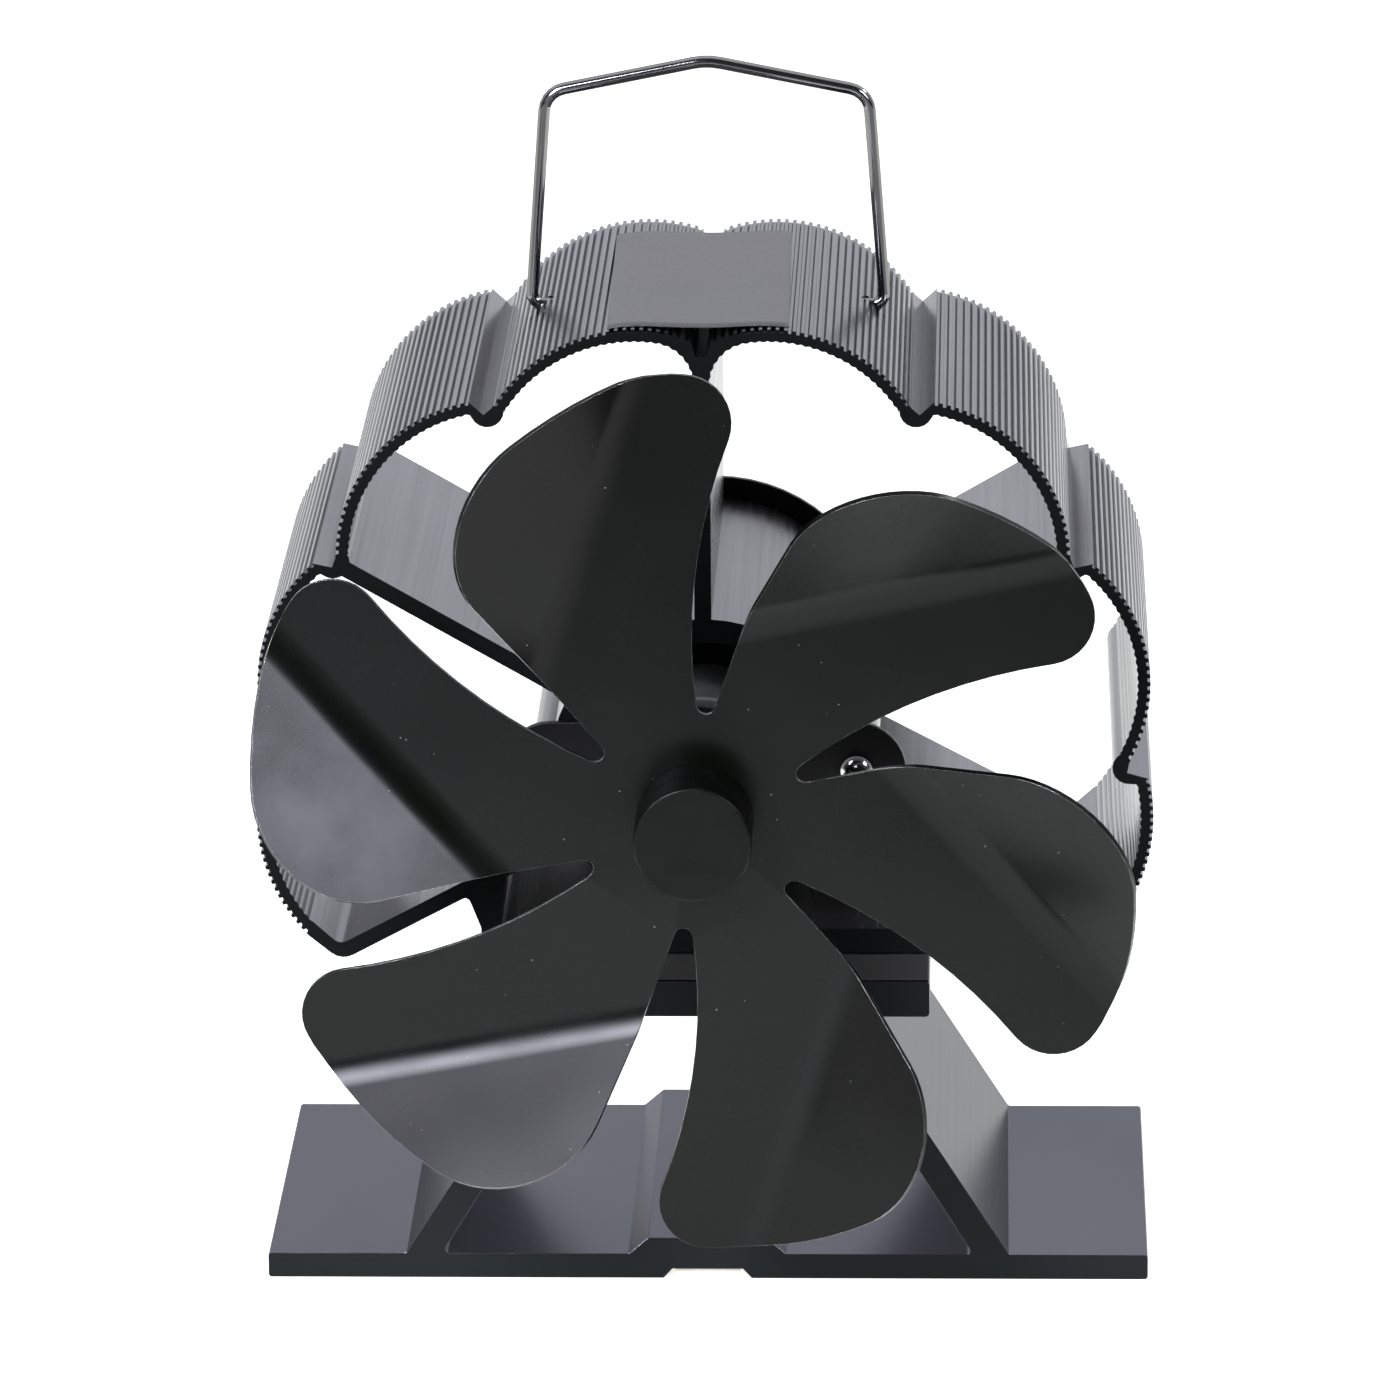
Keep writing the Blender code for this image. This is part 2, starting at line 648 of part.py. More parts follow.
def top_window():
    """Opening between the upper rib and the top rib, with one whole bead and a ridged fillet."""
    low_flank = hub_flank(UPPER_RIB_ANGLE, UPPER_RIB_THICK, 1)
    high_flank = hub_flank(math.pi / 2, TOP_RIB_THICK, -1)
    hub_side = arc(HUB_OUTER_R, high_flank, low_flank, HUB)
    _, centre, radius = lobe(3)
    fillet_centre, fillet_start = top_rib_fillet(centre, radius - LOBE_WALL)
    fillet = fluted_arc(fillet_centre, TOP_RIB_FILLET, fillet_start, math.pi,
                        -RIDGE_DEPTH, RIDGE_POINT_SHARES)
    rib_turn = math.asin(UPPER_RIB_THICK / 2 / BEAD_R)
    rib_bead = bead(UPPER_RIB_ANGLE, rib_turn, BEAD_HIGH_TURN)
    middle_bead = bead(2 * LOBE_SPAN, -BEAD_LOW_TURN, BEAD_HIGH_TURN)
    ring_side = rib_bead
    ring_side += ring_inside(2, hub_angle(rib_bead[-1]), hub_angle(middle_bead[0]))
    ring_side += middle_bead
    ring_side += ring_inside(3, hub_angle(middle_bead[-1]), hub_angle(fillet[0]))[:-1]
    return hub_side + ring_side + fillet


def foot_window():
    """Opening between the foot, its two walls, the lower ribs and the bottom of the hub."""
    flank = hub_flank(LOWER_RIB_ANGLE, LOWER_RIB_THICK, -1)
    wall_top = lower_flank_at(WALL_TOP_INNER)
    right = [(WALL_FOOT_INNER, FOOT_TOP, RIB_ROUND), (*wall_top, RIB_ROUND)]
    hub_side = arc(HUB_OUTER_R, flank, -math.pi - flank, HUB)
    left = [(-x, z, radius) for x, z, radius in reversed(right)]
    return rounded_outline(right + [(x, z, 0) for x, z in hub_side] + left)


side_opening = side_window()
top_opening = top_window()
boss_bore = circle(BOSS_BORE_R, (BOSS_X, HUB_HEIGHT))
heatsink_holes = [side_opening, mirrored(side_opening), top_opening, mirrored(top_opening), foot_window()]
heatsink_holes += [circle(HUB_INNER_R, HUB), boss_bore, mirrored(boss_bore)]
heatsink = add_object("heatsink_extrusion",
                      section_mesh("heatsink_extrusion", heatsink_outline(), heatsink_holes, SECTION_LENGTH),
                      SINK_ALUMINIUM, (0, SECTION_FRONT, 0))

# Two holes in the top lobes, in which the handle's hooks turn
hook_hole_r = WIRE_R + HANDLE_HOLE_GAP
hook_holes = rods_mesh("hook_hole_cutter", [
    (hook_hole_r, (side * (HANDLE_HOOK_END - CUT_OVERRUN), HANDLE_PIVOT_Y, HANDLE_PIVOT_HEIGHT),
     (side * (HANDLE_PIVOT_HALF + CUT_OVERRUN), HANDLE_PIVOT_Y, HANDLE_PIVOT_HEIGHT))
    for side in (-1, 1)
])
cut_with(heatsink, add_cutter("hook_hole_cutter", hook_holes, CUTTER))


# Insulating frame, generator module and its two thermal pads

def frame_outline():
    """C-shaped frame round the module; the slot at the back lets the leads out."""
    window = TEG_SIDE / 2 + TEG_WINDOW_GAP
    half_width = FRAME_WIDTH / 2
    return rounded_outline([
        (-half_width, SECTION_FRONT, FOOT_EDGE_ROUND),
        (half_width, SECTION_FRONT, FOOT_EDGE_ROUND),
        (half_width, SECTION_BACK, FOOT_EDGE_ROUND),
        (LEAD_SLOT_HALF, SECTION_BACK, 0),
        (LEAD_SLOT_HALF, window, 0),
        (window, window, 0),
        (window, -window, 0),
        (-window, -window, 0),
        (-window, window, 0),
        (-LEAD_SLOT_HALF, window, 0),
        (-LEAD_SLOT_HALF, SECTION_BACK, 0),
        (-half_width, SECTION_BACK, FOOT_EDGE_ROUND),
    ])


# The frame is drawn flat and laid down: its outline's second value runs along +Y
frame_mesh = section_mesh("insulating_frame", frame_outline(), [], FRAME_THICK)
insulating_frame = add_object("insulating_frame", frame_mesh, FRAME_BLACK,
                              (0, 0, FRAME_BOTTOM + FRAME_THICK), FACING_AWAY)

teg_core_half = TEG_SIDE / 2 - TEG_CORE_INSET
teg_inner = TEG_THICK - TEG_PLATE
teg_outline = [
    (-TEG_SIDE / 2, 0), (TEG_SIDE / 2, 0), (TEG_SIDE / 2, TEG_PLATE), (teg_core_half, TEG_PLATE),
    (teg_core_half, teg_inner), (TEG_SIDE / 2, teg_inner), (TEG_SIDE / 2, TEG_THICK),
    (-TEG_SIDE / 2, TEG_THICK), (-TEG_SIDE / 2, teg_inner), (-teg_core_half, teg_inner),
    (-teg_core_half, TEG_PLATE), (-TEG_SIDE / 2, TEG_PLATE),
]
teg_bottom = FRAME_BOTTOM + PAD_THICK + SEAT_GAP
add_object("teg_module", section_mesh("teg_module", teg_outline, [], TEG_SIDE),
           CERAMIC_WHITE, (TEG_SIDE / 2, 0, teg_bottom), (0, 0, math.pi / 2))


def thermal_pad(name, bottom):
    half = TEG_SIDE / 2
    outline = [(-half, 0), (half, 0), (half, PAD_THICK), (-half, PAD_THICK)]
    add_object(name, section_mesh(name, outline, [], TEG_SIDE), PAD_GREY, (0, -half, bottom))


thermal_pad("thermal_pad_lower", FRAME_BOTTOM)
thermal_pad("thermal_pad_upper", teg_bottom + TEG_THICK + SEAT_GAP)


# Four clamp screws, and the holes for them in platform, frame and foot

clamp_places = [(x, y) for x in (-CLAMP_X, CLAMP_X) for y in (-CLAMP_Y, CLAMP_Y)]
clamp_top = FOOT_TOP - CLAMP_FOOT_SKIN
clamp_hole_r = CLAMP_SHANK_R + SEAT_GAP
clamp_holes = rods_mesh("clamp_hole_cutter", [
    (clamp_hole_r, (x, y, PLATFORM_UNDERSIDE - CUT_OVERRUN), (x, y, clamp_top)) for x, y in clamp_places
])
clamp_cutter = add_cutter("clamp_hole_cutter", clamp_holes, CUTTER)
for item in (base, insulating_frame, heatsink):
    cut_with(item, clamp_cutter)
clamp_mesh = pan_screw_mesh("clamp_screw", CLAMP_HEAD_R, CLAMP_HEAD_HEIGHT, CLAMP_SHANK_R,
                            clamp_top - PLATFORM_UNDERSIDE)
for number, (x, y) in enumerate(clamp_places, 1):
    add_object(f"clamp_screw_{number}", clamp_mesh, SCREW_CHROME,
               (x, y, PLATFORM_UNDERSIDE - SEAT_GAP), (math.pi, 0, 0))


# Bimetal strip in the channel under the base, held by one rivet

strip_half = STRIP_WIDTH / 2
strip_bottom = CHANNEL_DEPTH - SEAT_GAP - STRIP_THICK
strip_outline = [(-strip_half, 0), (strip_half, 0), (strip_half, STRIP_THICK), (-strip_half, STRIP_THICK)]
strip = add_object("bimetal_strip", section_mesh("bimetal_strip", strip_outline, [], STRIP_LENGTH),
                   BIMETAL, (0, -STRIP_LENGTH / 2, strip_bottom))
rivet_hole = rods_mesh("rivet_hole_cutter", [
    (RIVET_SHANK_R + SEAT_GAP, (0, RIVET_Y, -CUT_OVERRUN),
     (0, RIVET_Y, strip_bottom + RIVET_SHANK_LENGTH + SEAT_GAP)),
])
rivet_cutter = add_cutter("rivet_hole_cutter", rivet_hole, CUTTER)
cut_with(base, rivet_cutter)
cut_with(strip, rivet_cutter)
rivet_mesh = pan_screw_mesh("strip_rivet", RIVET_HEAD_R, RIVET_HEAD_HEIGHT, RIVET_SHANK_R, RIVET_SHANK_LENGTH)
add_object("strip_rivet", rivet_mesh, MOTOR_STEEL, (0, RIVET_Y, strip_bottom - SEAT_GAP), (math.pi, 0, 0))


# Front bracket across the hub, with its screws

def bracket_outline():
    """Strip with round ends on the two bosses and a round plate in its middle."""
    meet = math.asin(BRACKET_END_R / BRACKET_DISC_R)
    middle = (MOTOR_X, 0)
    outline = arc(BRACKET_END_R, -math.pi / 2, math.pi / 2, (BOSS_X, 0))
    outline += arc(BRACKET_DISC_R, meet, math.pi - meet, middle)
    outline += arc(BRACKET_END_R, math.pi / 2, 1.5 * math.pi, (-BOSS_X, 0))
    outline += arc(BRACKET_DISC_R, math.pi + meet, math.tau - meet, middle)
    return outline


def screw_hole(x, shank_r):
    return circle(shank_r + SEAT_GAP, (x, 0))


bracket_holes = [screw_hole(side * BOSS_X, BRACKET_SCREW_SHANK_R) for side in (-1, 1)]
bracket_holes += [screw_hole(MOTOR_X + side * MOTOR_SCREW_X, MOTOR_SCREW_SHANK_R) for side in (-1, 1)]
bracket_holes += [circle(BUSH_R + SEAT_GAP, (MOTOR_X, 0))]
add_object("front_bracket", section_mesh("front_bracket", bracket_outline(), bracket_holes, BRACKET_THICK),
           BRACKET_BLACK, (0, BRACKET_FRONT, HUB_HEIGHT))
bracket_screw = pan_screw_mesh("bracket_screw", BRACKET_SCREW_HEAD_R, BRACKET_SCREW_HEAD_HEIGHT,
                               BRACKET_SCREW_SHANK_R, BRACKET_SCREW_LENGTH)
motor_screw = pan_screw_mesh("motor_screw", MOTOR_SCREW_HEAD_R, MOTOR_SCREW_HEAD_HEIGHT,
                             MOTOR_SCREW_SHANK_R, MOTOR_SCREW_LENGTH)
for side, word in ((-1, "left"), (1, "right")):
    add_object(f"bracket_screw_{word}", bracket_screw, SCREW_CHROME,
               (side * BOSS_X, BRACKET_FRONT - SEAT_GAP, HUB_HEIGHT), FACING_VIEWER)
    add_object(f"motor_screw_{word}", motor_screw, SCREW_CHROME,
               (MOTOR_X + side * MOTOR_SCREW_X, BRACKET_FRONT - SEAT_GAP, HUB_HEIGHT), FACING_VIEWER)


# Motor: can, front bush, end bell with terminals, and two magnets

can_inner_r = MOTOR_R - MOTOR_WALL
motor_can = add_object("motor_can", turned_mesh("motor_can", [
    (0, BUSH_R + SEAT_GAP),
    (0, MOTOR_R - MOTOR_EDGE_ROUND),
    (MOTOR_EDGE_ROUND / 3, MOTOR_R - MOTOR_EDGE_ROUND / 3),
    (MOTOR_EDGE_ROUND, MOTOR_R),
    (MOTOR_LENGTH, MOTOR_R),
    (MOTOR_LENGTH, can_inner_r),
    (MOTOR_WALL, can_inner_r),
    (MOTOR_WALL, BUSH_R + SEAT_GAP),
], ROUND_STEPS), MOTOR_STEEL, (MOTOR_X, SECTION_FRONT, HUB_HEIGHT), FACING_AWAY)
motor_holes = rods_mesh("motor_hole_cutter", [
    (MOTOR_SCREW_SHANK_R + SEAT_GAP, (MOTOR_X + x, SECTION_FRONT - CUT_OVERRUN, HUB_HEIGHT),
     (MOTOR_X + x, SECTION_FRONT + MOTOR_WALL + CUT_OVERRUN, HUB_HEIGHT))
    for x in (-MOTOR_SCREW_X, MOTOR_SCREW_X)
])
cut_with(motor_can, add_cutter("motor_hole_cutter", motor_holes, CUTTER))

bush_length = BRACKET_THICK + SEAT_GAP + MOTOR_WALL + BUSH_INNER_STEP
shaft_bore_r = SHAFT_R + RUNNING_GAP
add_object("motor_bush", turned_mesh("motor_bush", [
    (0, shaft_bore_r),
    (0, BUSH_R),
    (bush_length, BUSH_R),
    (bush_length, shaft_bore_r),
]), BUSH_BRONZE, (MOTOR_X, BRACKET_FRONT, HUB_HEIGHT), FACING_AWAY)

bell_r = can_inner_r - SEAT_GAP
bell_front = MOTOR_BACK - BELL_THICK
add_object("motor_end_bell", turned_mesh("motor_end_bell", [
    (0, shaft_bore_r),
    (0, bell_r),
    (BELL_THICK, bell_r),
    (BELL_THICK, BELL_BOSS_R),
    (BELL_THICK + BELL_BOSS_HEIGHT, BELL_BOSS_R - BELL_BOSS_HEIGHT / 4),
    (BELL_THICK + BELL_BOSS_HEIGHT, shaft_bore_r),
], ROUND_STEPS), BELL_PLASTIC, (MOTOR_X, bell_front, HUB_HEIGHT), FACING_AWAY)

magnet_outer_r = can_inner_r - SEAT_GAP
magnet_inner_r = magnet_outer_r - MAGNET_THICK
magnet_outline = arc(magnet_outer_r, -MAGNET_HALF_ANGLE, MAGNET_HALF_ANGLE)
magnet_outline += arc(magnet_inner_r, MAGNET_HALF_ANGLE, -MAGNET_HALF_ANGLE)
magnet_front = SECTION_FRONT + MOTOR_WALL + (bell_front - SECTION_FRONT - MOTOR_WALL - MAGNET_LENGTH) / 2
for word, outline in (("left", mirrored(magnet_outline)), ("right", magnet_outline)):
    magnet_mesh = section_mesh(f"motor_magnet_{word}", outline, [], MAGNET_LENGTH)
    add_object(f"motor_magnet_{word}", magnet_mesh, MAGNET_GREY, (MOTOR_X, magnet_front, HUB_HEIGHT))

terminal_half = TERMINAL_WIDTH / 2
terminal_outline = [
    (-terminal_half, -TERMINAL_THICK / 2), (terminal_half, -TERMINAL_THICK / 2),
    (terminal_half, TERMINAL_THICK / 2), (-terminal_half, TERMINAL_THICK / 2),
]
for side, word in ((-1, "left"), (1, "right")):
    terminal_mesh = section_mesh(f"motor_terminal_{word}", terminal_outline, [], TERMINAL_LENGTH)
    add_object(f"motor_terminal_{word}", terminal_mesh, TERMINAL_BRASS,
               (MOTOR_X + side * (TERMINAL_X + terminal_half), MOTOR_BACK + SEAT_GAP, HUB_HEIGHT))


# Rear cover with its screws; the slot below lets the leads into the hub

def cover_outline():
    slot_turn = math.asin(LEAD_SLOT_HALF / COVER_R)
    outline = arc(COVER_R, -math.pi / 2 + slot_turn, 1.5 * math.pi - slot_turn)
    return outline + [(-LEAD_SLOT_HALF, -COVER_SLOT_TOP), (LEAD_SLOT_HALF, -COVER_SLOT_TOP)]


cover_holes = [screw_hole(side * BOSS_X, COVER_SCREW_SHANK_R) for side in (-1, 1)]
add_object("rear_cover", section_mesh("rear_cover", cover_outline(), cover_holes, COVER_THICK),
           COVER_BLACK, (0, COVER_FRONT, HUB_HEIGHT))
cover_screw = pan_screw_mesh("cover_screw", COVER_SCREW_HEAD_R, COVER_SCREW_HEAD_HEIGHT,
                             COVER_SCREW_SHANK_R, COVER_SCREW_LENGTH)
for side, word in ((-1, "left"), (1, "right")):
    add_object(f"cover_screw_{word}", cover_screw, SCREW_CHROME,
               (side * BOSS_X, COVER_BACK + SEAT_GAP, HUB_HEIGHT), FACING_AWAY)


# Fan: everything on the motor shaft turns about this axis

def ride_on(axis, item):
    item.location = item.location - axis.location
    item.parent = axis


def arched(start, end, rise):
    """Arc from start to end that bows to the left of the way by the rise."""
    chord = Vector(end) - Vector(start)
    radius = (chord.length_squared / 4 + rise ** 2) / (2 * rise)
    left = Vector((-chord.y, chord.x)).normalized()
    centre = (Vector(start) + Vector(end)) / 2 - left * (radius - rise)
    first = angle_on_circle(start, centre)
    last = angle_on_circle(end, centre)
    return arc(radius, first, last, centre)


def sector_outline():
    """Flat outline of one sixth of the sheet: one blade and its share of the middle.

    The blade's straight root line runs along +X. Its flat side is the lower one here,
    its flap, bent towards the viewer, lies along the upper one.
    """
    slot_end = SLOT_MIDDLE_ANGLE + math.tau / BLADE_COUNT
    slot_r = BLADE_ROOT_R - SLOT_BOTTOM_R
    hole_r = shaft_bore_r
    first_slot = arc(slot_r, SLOT_MIDDLE_ANGLE + math.pi, SLOT_MIDDLE_ANGLE + math.pi / 2,
                     polar(BLADE_ROOT_R, SLOT_MIDDLE_ANGLE))
    last_slot = arc(slot_r, slot_end - math.pi / 2, slot_end - math.pi, polar(BLADE_ROOT_R, slot_end))
    flat_side = arched(polar(BLADE_ROOT_R, BLADE_FLAT_ROOT_ANGLE), (BLADE_FLAT_END_X, BLADE_FLAT_END_Z),
                       BLADE_FLAT_ARCH)
    heading = (Vector(flat_side[-1]) - Vector(flat_side[-2])).normalized()
    along = Vector(flat_side[-1]).dot(heading)
    reach = -along + math.sqrt(along ** 2 - Vector(flat_side[-1]).length_squared + BLADE_R ** 2)
    tip = Vector(flat_side[-1]) + heading * reach
    flap = Vector((math.cos(BLADE_FLAP_ANGLE), math.sin(BLADE_FLAP_ANGLE)))
    outwards = Vector((-flap.y, flap.x))
    inset = BLADE_FLAP_CORNER_R - BLADE_FLAP_OFFSET
    corner_along = math.sqrt((BLADE_R - BLADE_FLAP_CORNER_R) ** 2 - inset ** 2)
    corner = flap * corner_along - outwards * inset
    corner_start = math.atan2(corner.y, corner.x)
    rim = arc(BLADE_R, math.atan2(tip.y, tip.x) + 1.6 * BLADE_TIP_ROUND / BLADE_R, corner_start)
    flap_corner = arc(BLADE_FLAP_CORNER_R, corner_start, BLADE_FLAP_ANGLE + math.pi / 2, corner)
    root_along = math.sqrt(BLADE_ROOT_R ** 2 - BLADE_FLAP_OFFSET ** 2)
    flap_root = flap * root_along + outwards * BLADE_FLAP_OFFSET
    hole = arc(hole_r, slot_end, SLOT_MIDDLE_ANGLE)
    points = first_slot[:-1] + flat_side
    corners = [(x, z, 0) for x, z in points]
    corners += [(*tip, BLADE_TIP_ROUND)]
    corners += [(x, z, 0) for x, z in rim + flap_corner[1:]]
    corners += [(*flap_root, 0)]
    corners += [(x, z, 0) for x, z in last_slot[1:] + hole]
    return rounded_outline(corners)


def bend_blade(shape, lean):
    """Rolls the flap towards the viewer round the bend, and leans the blade back from its root."""
    inner = Vector((BEND_INNER_X, BEND_INNER_Z))
    line = (Vector((BEND_OUTER_X, BEND_OUTER_Z)) - inner).normalized()
    across = Vector((-line.y, line.x))
    middle_angle = SLOT_MIDDLE_ANGLE + math.pi / BLADE_COUNT
    middle = Vector((math.cos(middle_angle), math.sin(middle_angle)))
    roll = BEND_R * BEND_ANGLE
    for i in range(BEND_STRIPS + 1):
        place = inner + across * (roll * i / BEND_STRIPS)
        bmesh.ops.bisect_plane(shape, geom=shape.verts[:] + shape.edges[:] + shape.faces[:],
                               dist=MERGE_GAP, plane_co=(place.x, 0, place.y),
                               plane_no=(across.x, 0, across.y))
    bmesh.ops.bisect_plane(shape, geom=shape.verts[:] + shape.edges[:] + shape.faces[:],
                           dist=MERGE_GAP, plane_co=(middle.x * LEAN_START, 0, middle.y * LEAN_START),
                           plane_no=(middle.x, 0, middle.y))
    for corner in shape.verts:
        flat = Vector((corner.co.x, corner.co.z))
        outwards = flat.dot(middle)
        past = (flat - inner).dot(across)
        forward = 0
        if past > 0:
            turn = min(past, roll) / BEND_R
            rest = max(past - roll, 0)
            moved = BEND_R * math.sin(turn) + rest * math.cos(BEND_ANGLE)
            forward = BEND_R * (1 - math.cos(turn)) + rest * math.sin(BEND_ANGLE)
            flat = flat + across * (moved - past)
        back = max(outwards - LEAN_START, 0) * math.tan(lean)
        corner.co = (flat.x, back - forward, flat.y)


def fan_sheet_mesh():
    """Six sectors round the shaft, the first one upwards, each pressed with a lean of its own."""
    outline = sector_outline()
    blade = bpy.data.meshes.new("blade_sector")
    shape = bmesh.new()
    for number, lean in enumerate(BLADE_LEANS):
        sector = bmesh.new()
        sector.faces.new([sector.verts.new((x, 0, z)) for x, z in outline])
        bend_blade(sector, lean)
        sector.to_mesh(blade)
        sector.free()
        turn = FIRST_BLADE_ANGLE + math.tau * number / BLADE_COUNT
        first = len(shape.verts)
        shape.from_mesh(blade)
        shape.verts.ensure_lookup_table()
        bmesh.ops.rotate(shape, verts=shape.verts[first:], cent=(0, 0, 0),
                         matrix=Matrix.Rotation(-turn, 3, "Y"))
    bpy.data.meshes.remove(blade)
    bmesh.ops.remove_doubles(shape, verts=shape.verts[:], dist=MERGE_GAP)
    return finish_mesh("fan_blades", shape, True)


fan_axis = add_axis("fan_axis", (MOTOR_X, SHEET_PLANE_Y, HUB_HEIGHT), section_middle)
fan_blades = add_object("fan_blades", fan_sheet_mesh(), FAN_BLACK, (MOTOR_X, SHEET_PLANE_Y, HUB_HEIGHT))
thicken = fan_blades.modifiers.new("sheet_thickness", "SOLIDIFY")
thicken.thickness = SHEET_THICK
thicken.offset = 0
ride_on(fan_axis, fan_blades)

hub_bore_depth = FAN_HUB_LENGTH - FAN_HUB_END_WALL
fan_hub = add_object("fan_hub", turned_mesh("fan_hub", [
    (0, shaft_bore_r),
    (0, FAN_HUB_R),
    (FAN_HUB_LENGTH - FAN_HUB_EDGE_ROUND, FAN_HUB_R),
    (FAN_HUB_LENGTH - FAN_HUB_EDGE_ROUND / 3, FAN_HUB_R - FAN_HUB_EDGE_ROUND / 3),
    (FAN_HUB_LENGTH, FAN_HUB_R - FAN_HUB_EDGE_ROUND),
    (FAN_HUB_LENGTH, 0),
    (hub_bore_depth, 0),
    (hub_bore_depth, shaft_bore_r),
], ROUND_STEPS), HUB_BLACK, (MOTOR_X, FAN_HUB_BACK, HUB_HEIGHT), FACING_VIEWER)
ride_on(fan_axis, fan_hub)

collar_front = SHEET_BACK + SEAT_GAP
hub_collar = add_object("hub_collar", turned_mesh("hub_collar", [
    (0, shaft_bore_r),
    (0, COLLAR_R),
    (COLLAR_LENGTH, COLLAR_R),
    (COLLAR_LENGTH, shaft_bore_r),
], ROUND_STEPS), MOTOR_STEEL, (MOTOR_X, collar_front, HUB_HEIGHT), FACING_AWAY)
ride_on(fan_axis, hub_collar)

screw_y = collar_front + COLLAR_LENGTH / 2
set_screw_hole = rods_mesh("set_screw_cutter", [
    (SET_SCREW_R + SEAT_GAP, (MOTOR_X, screw_y, HUB_HEIGHT),
     (MOTOR_X, screw_y, HUB_HEIGHT + COLLAR_R + CUT_OVERRUN)),
])
set_screw_cutter = add_cutter("set_screw_cutter", set_screw_hole, CUTTER)
cut_with(hub_collar, set_screw_cutter)
set_screw = add_object("set_screw", turned_mesh("set_screw", [
    (0, 0),
    (0, SET_SCREW_R),
    (SET_SCREW_LENGTH, SET_SCREW_R),
    (SET_SCREW_LENGTH, SET_SCREW_R / 2),
    (SET_SCREW_LENGTH - SET_SCREW_R, SET_SCREW_R / 2),
    (SET_SCREW_LENGTH - SET_SCREW_R, 0),
]), SHAFT_STEEL, (MOTOR_X, screw_y, HUB_HEIGHT + SHAFT_R + SEAT_GAP))
ride_on(fan_axis, set_screw)

shaft_back = MOTOR_BACK + SHAFT_TAIL
motor_shaft = add_object("motor_shaft", turned_mesh("motor_shaft", [
    (0, 0),
    (0, SHAFT_R),
    (shaft_back - SHAFT_FRONT, SHAFT_R),
    (shaft_back - SHAFT_FRONT, 0),
]), SHAFT_STEEL, (MOTOR_X, SHAFT_FRONT, HUB_HEIGHT), FACING_AWAY)
ride_on(fan_axis, motor_shaft)

armature_front = SECTION_FRONT + MOTOR_WALL + ARMATURE_FRONT_SPACE
motor_armature = add_object("motor_armature", turned_mesh("motor_armature", [
    (0, shaft_bore_r),
    (0, ARMATURE_R),
    (ARMATURE_LENGTH, ARMATURE_R),
    (ARMATURE_LENGTH, COMMUTATOR_R),
    (ARMATURE_LENGTH + COMMUTATOR_LENGTH, COMMUTATOR_R),
    (ARMATURE_LENGTH + COMMUTATOR_LENGTH, shaft_bore_r),
], ROUND_STEPS), WINDING_COPPER, (MOTOR_X, armature_front, HUB_HEIGHT), FACING_AWAY)
ride_on(fan_axis, motor_armature)


# Wire handle: hooks into the top lobes, two legs, two shoulders and a low peak

def wire_path():
    """Centre line of the bent wire in XZ, from hook to hook, as an open run of points."""
    half = [
        (HANDLE_HOOK_END, HANDLE_PIVOT_HEIGHT, 0),
        (HANDLE_PIVOT_HALF, HANDLE_PIVOT_HEIGHT, HANDLE_HOOK_ROUND),
        (HANDLE_SHOULDER_HALF, HANDLE_SHOULDER_HEIGHT, HANDLE_SHOULDER_ROUND),
    ]
    peak = [(0, HANDLE_PEAK_HEIGHT, HANDLE_PEAK_ROUND)]
    return rounded_outline(half + peak + [(-x, z, radius) for x, z, radius in reversed(half)])


handle_axis = add_axis("handle_axis", (0, HANDLE_PIVOT_Y, HANDLE_PIVOT_HEIGHT), section_middle)
handle_points = [(x, 0, z - HANDLE_PIVOT_HEIGHT) for x, z in wire_path()]
wire_handle = add_object("wire_handle", tube_curve("wire_handle", handle_points, WIRE_R, 3),
                         POLISHED_STEEL, (0, HANDLE_PIVOT_Y, HANDLE_PIVOT_HEIGHT))
ride_on(handle_axis, wire_handle)


# Leads from the generator module, up behind the foot, into the hub and on to the motor

def smooth_route(route, step):
    """Evenly spaced points on a smooth curve through the route's own points."""
    ends = [2 * route[0] - route[1]] + route + [2 * route[-1] - route[-2]]
    fine = []
    for a, b, c, d in zip(ends, ends[1:], ends[2:], ends[3:]):
        for i in range(16):
            t = i / 16
            fine.append(0.5 * (2 * b + (c - a) * t + (2 * a - 5 * b + 4 * c - d) * t ** 2
                               + (3 * b - a - 3 * c + d) * t ** 3))
    fine.append(route[-1])
    points = [fine[0]]
    run = 0
    for before, after in zip(fine, fine[1:]):
        run += (after - before).length
        if run >= step:
            points.append(after)
            run = 0
    if run > step / 2:
        points.append(fine[-1])
    else:
        points[-1] = fine[-1]
    return points


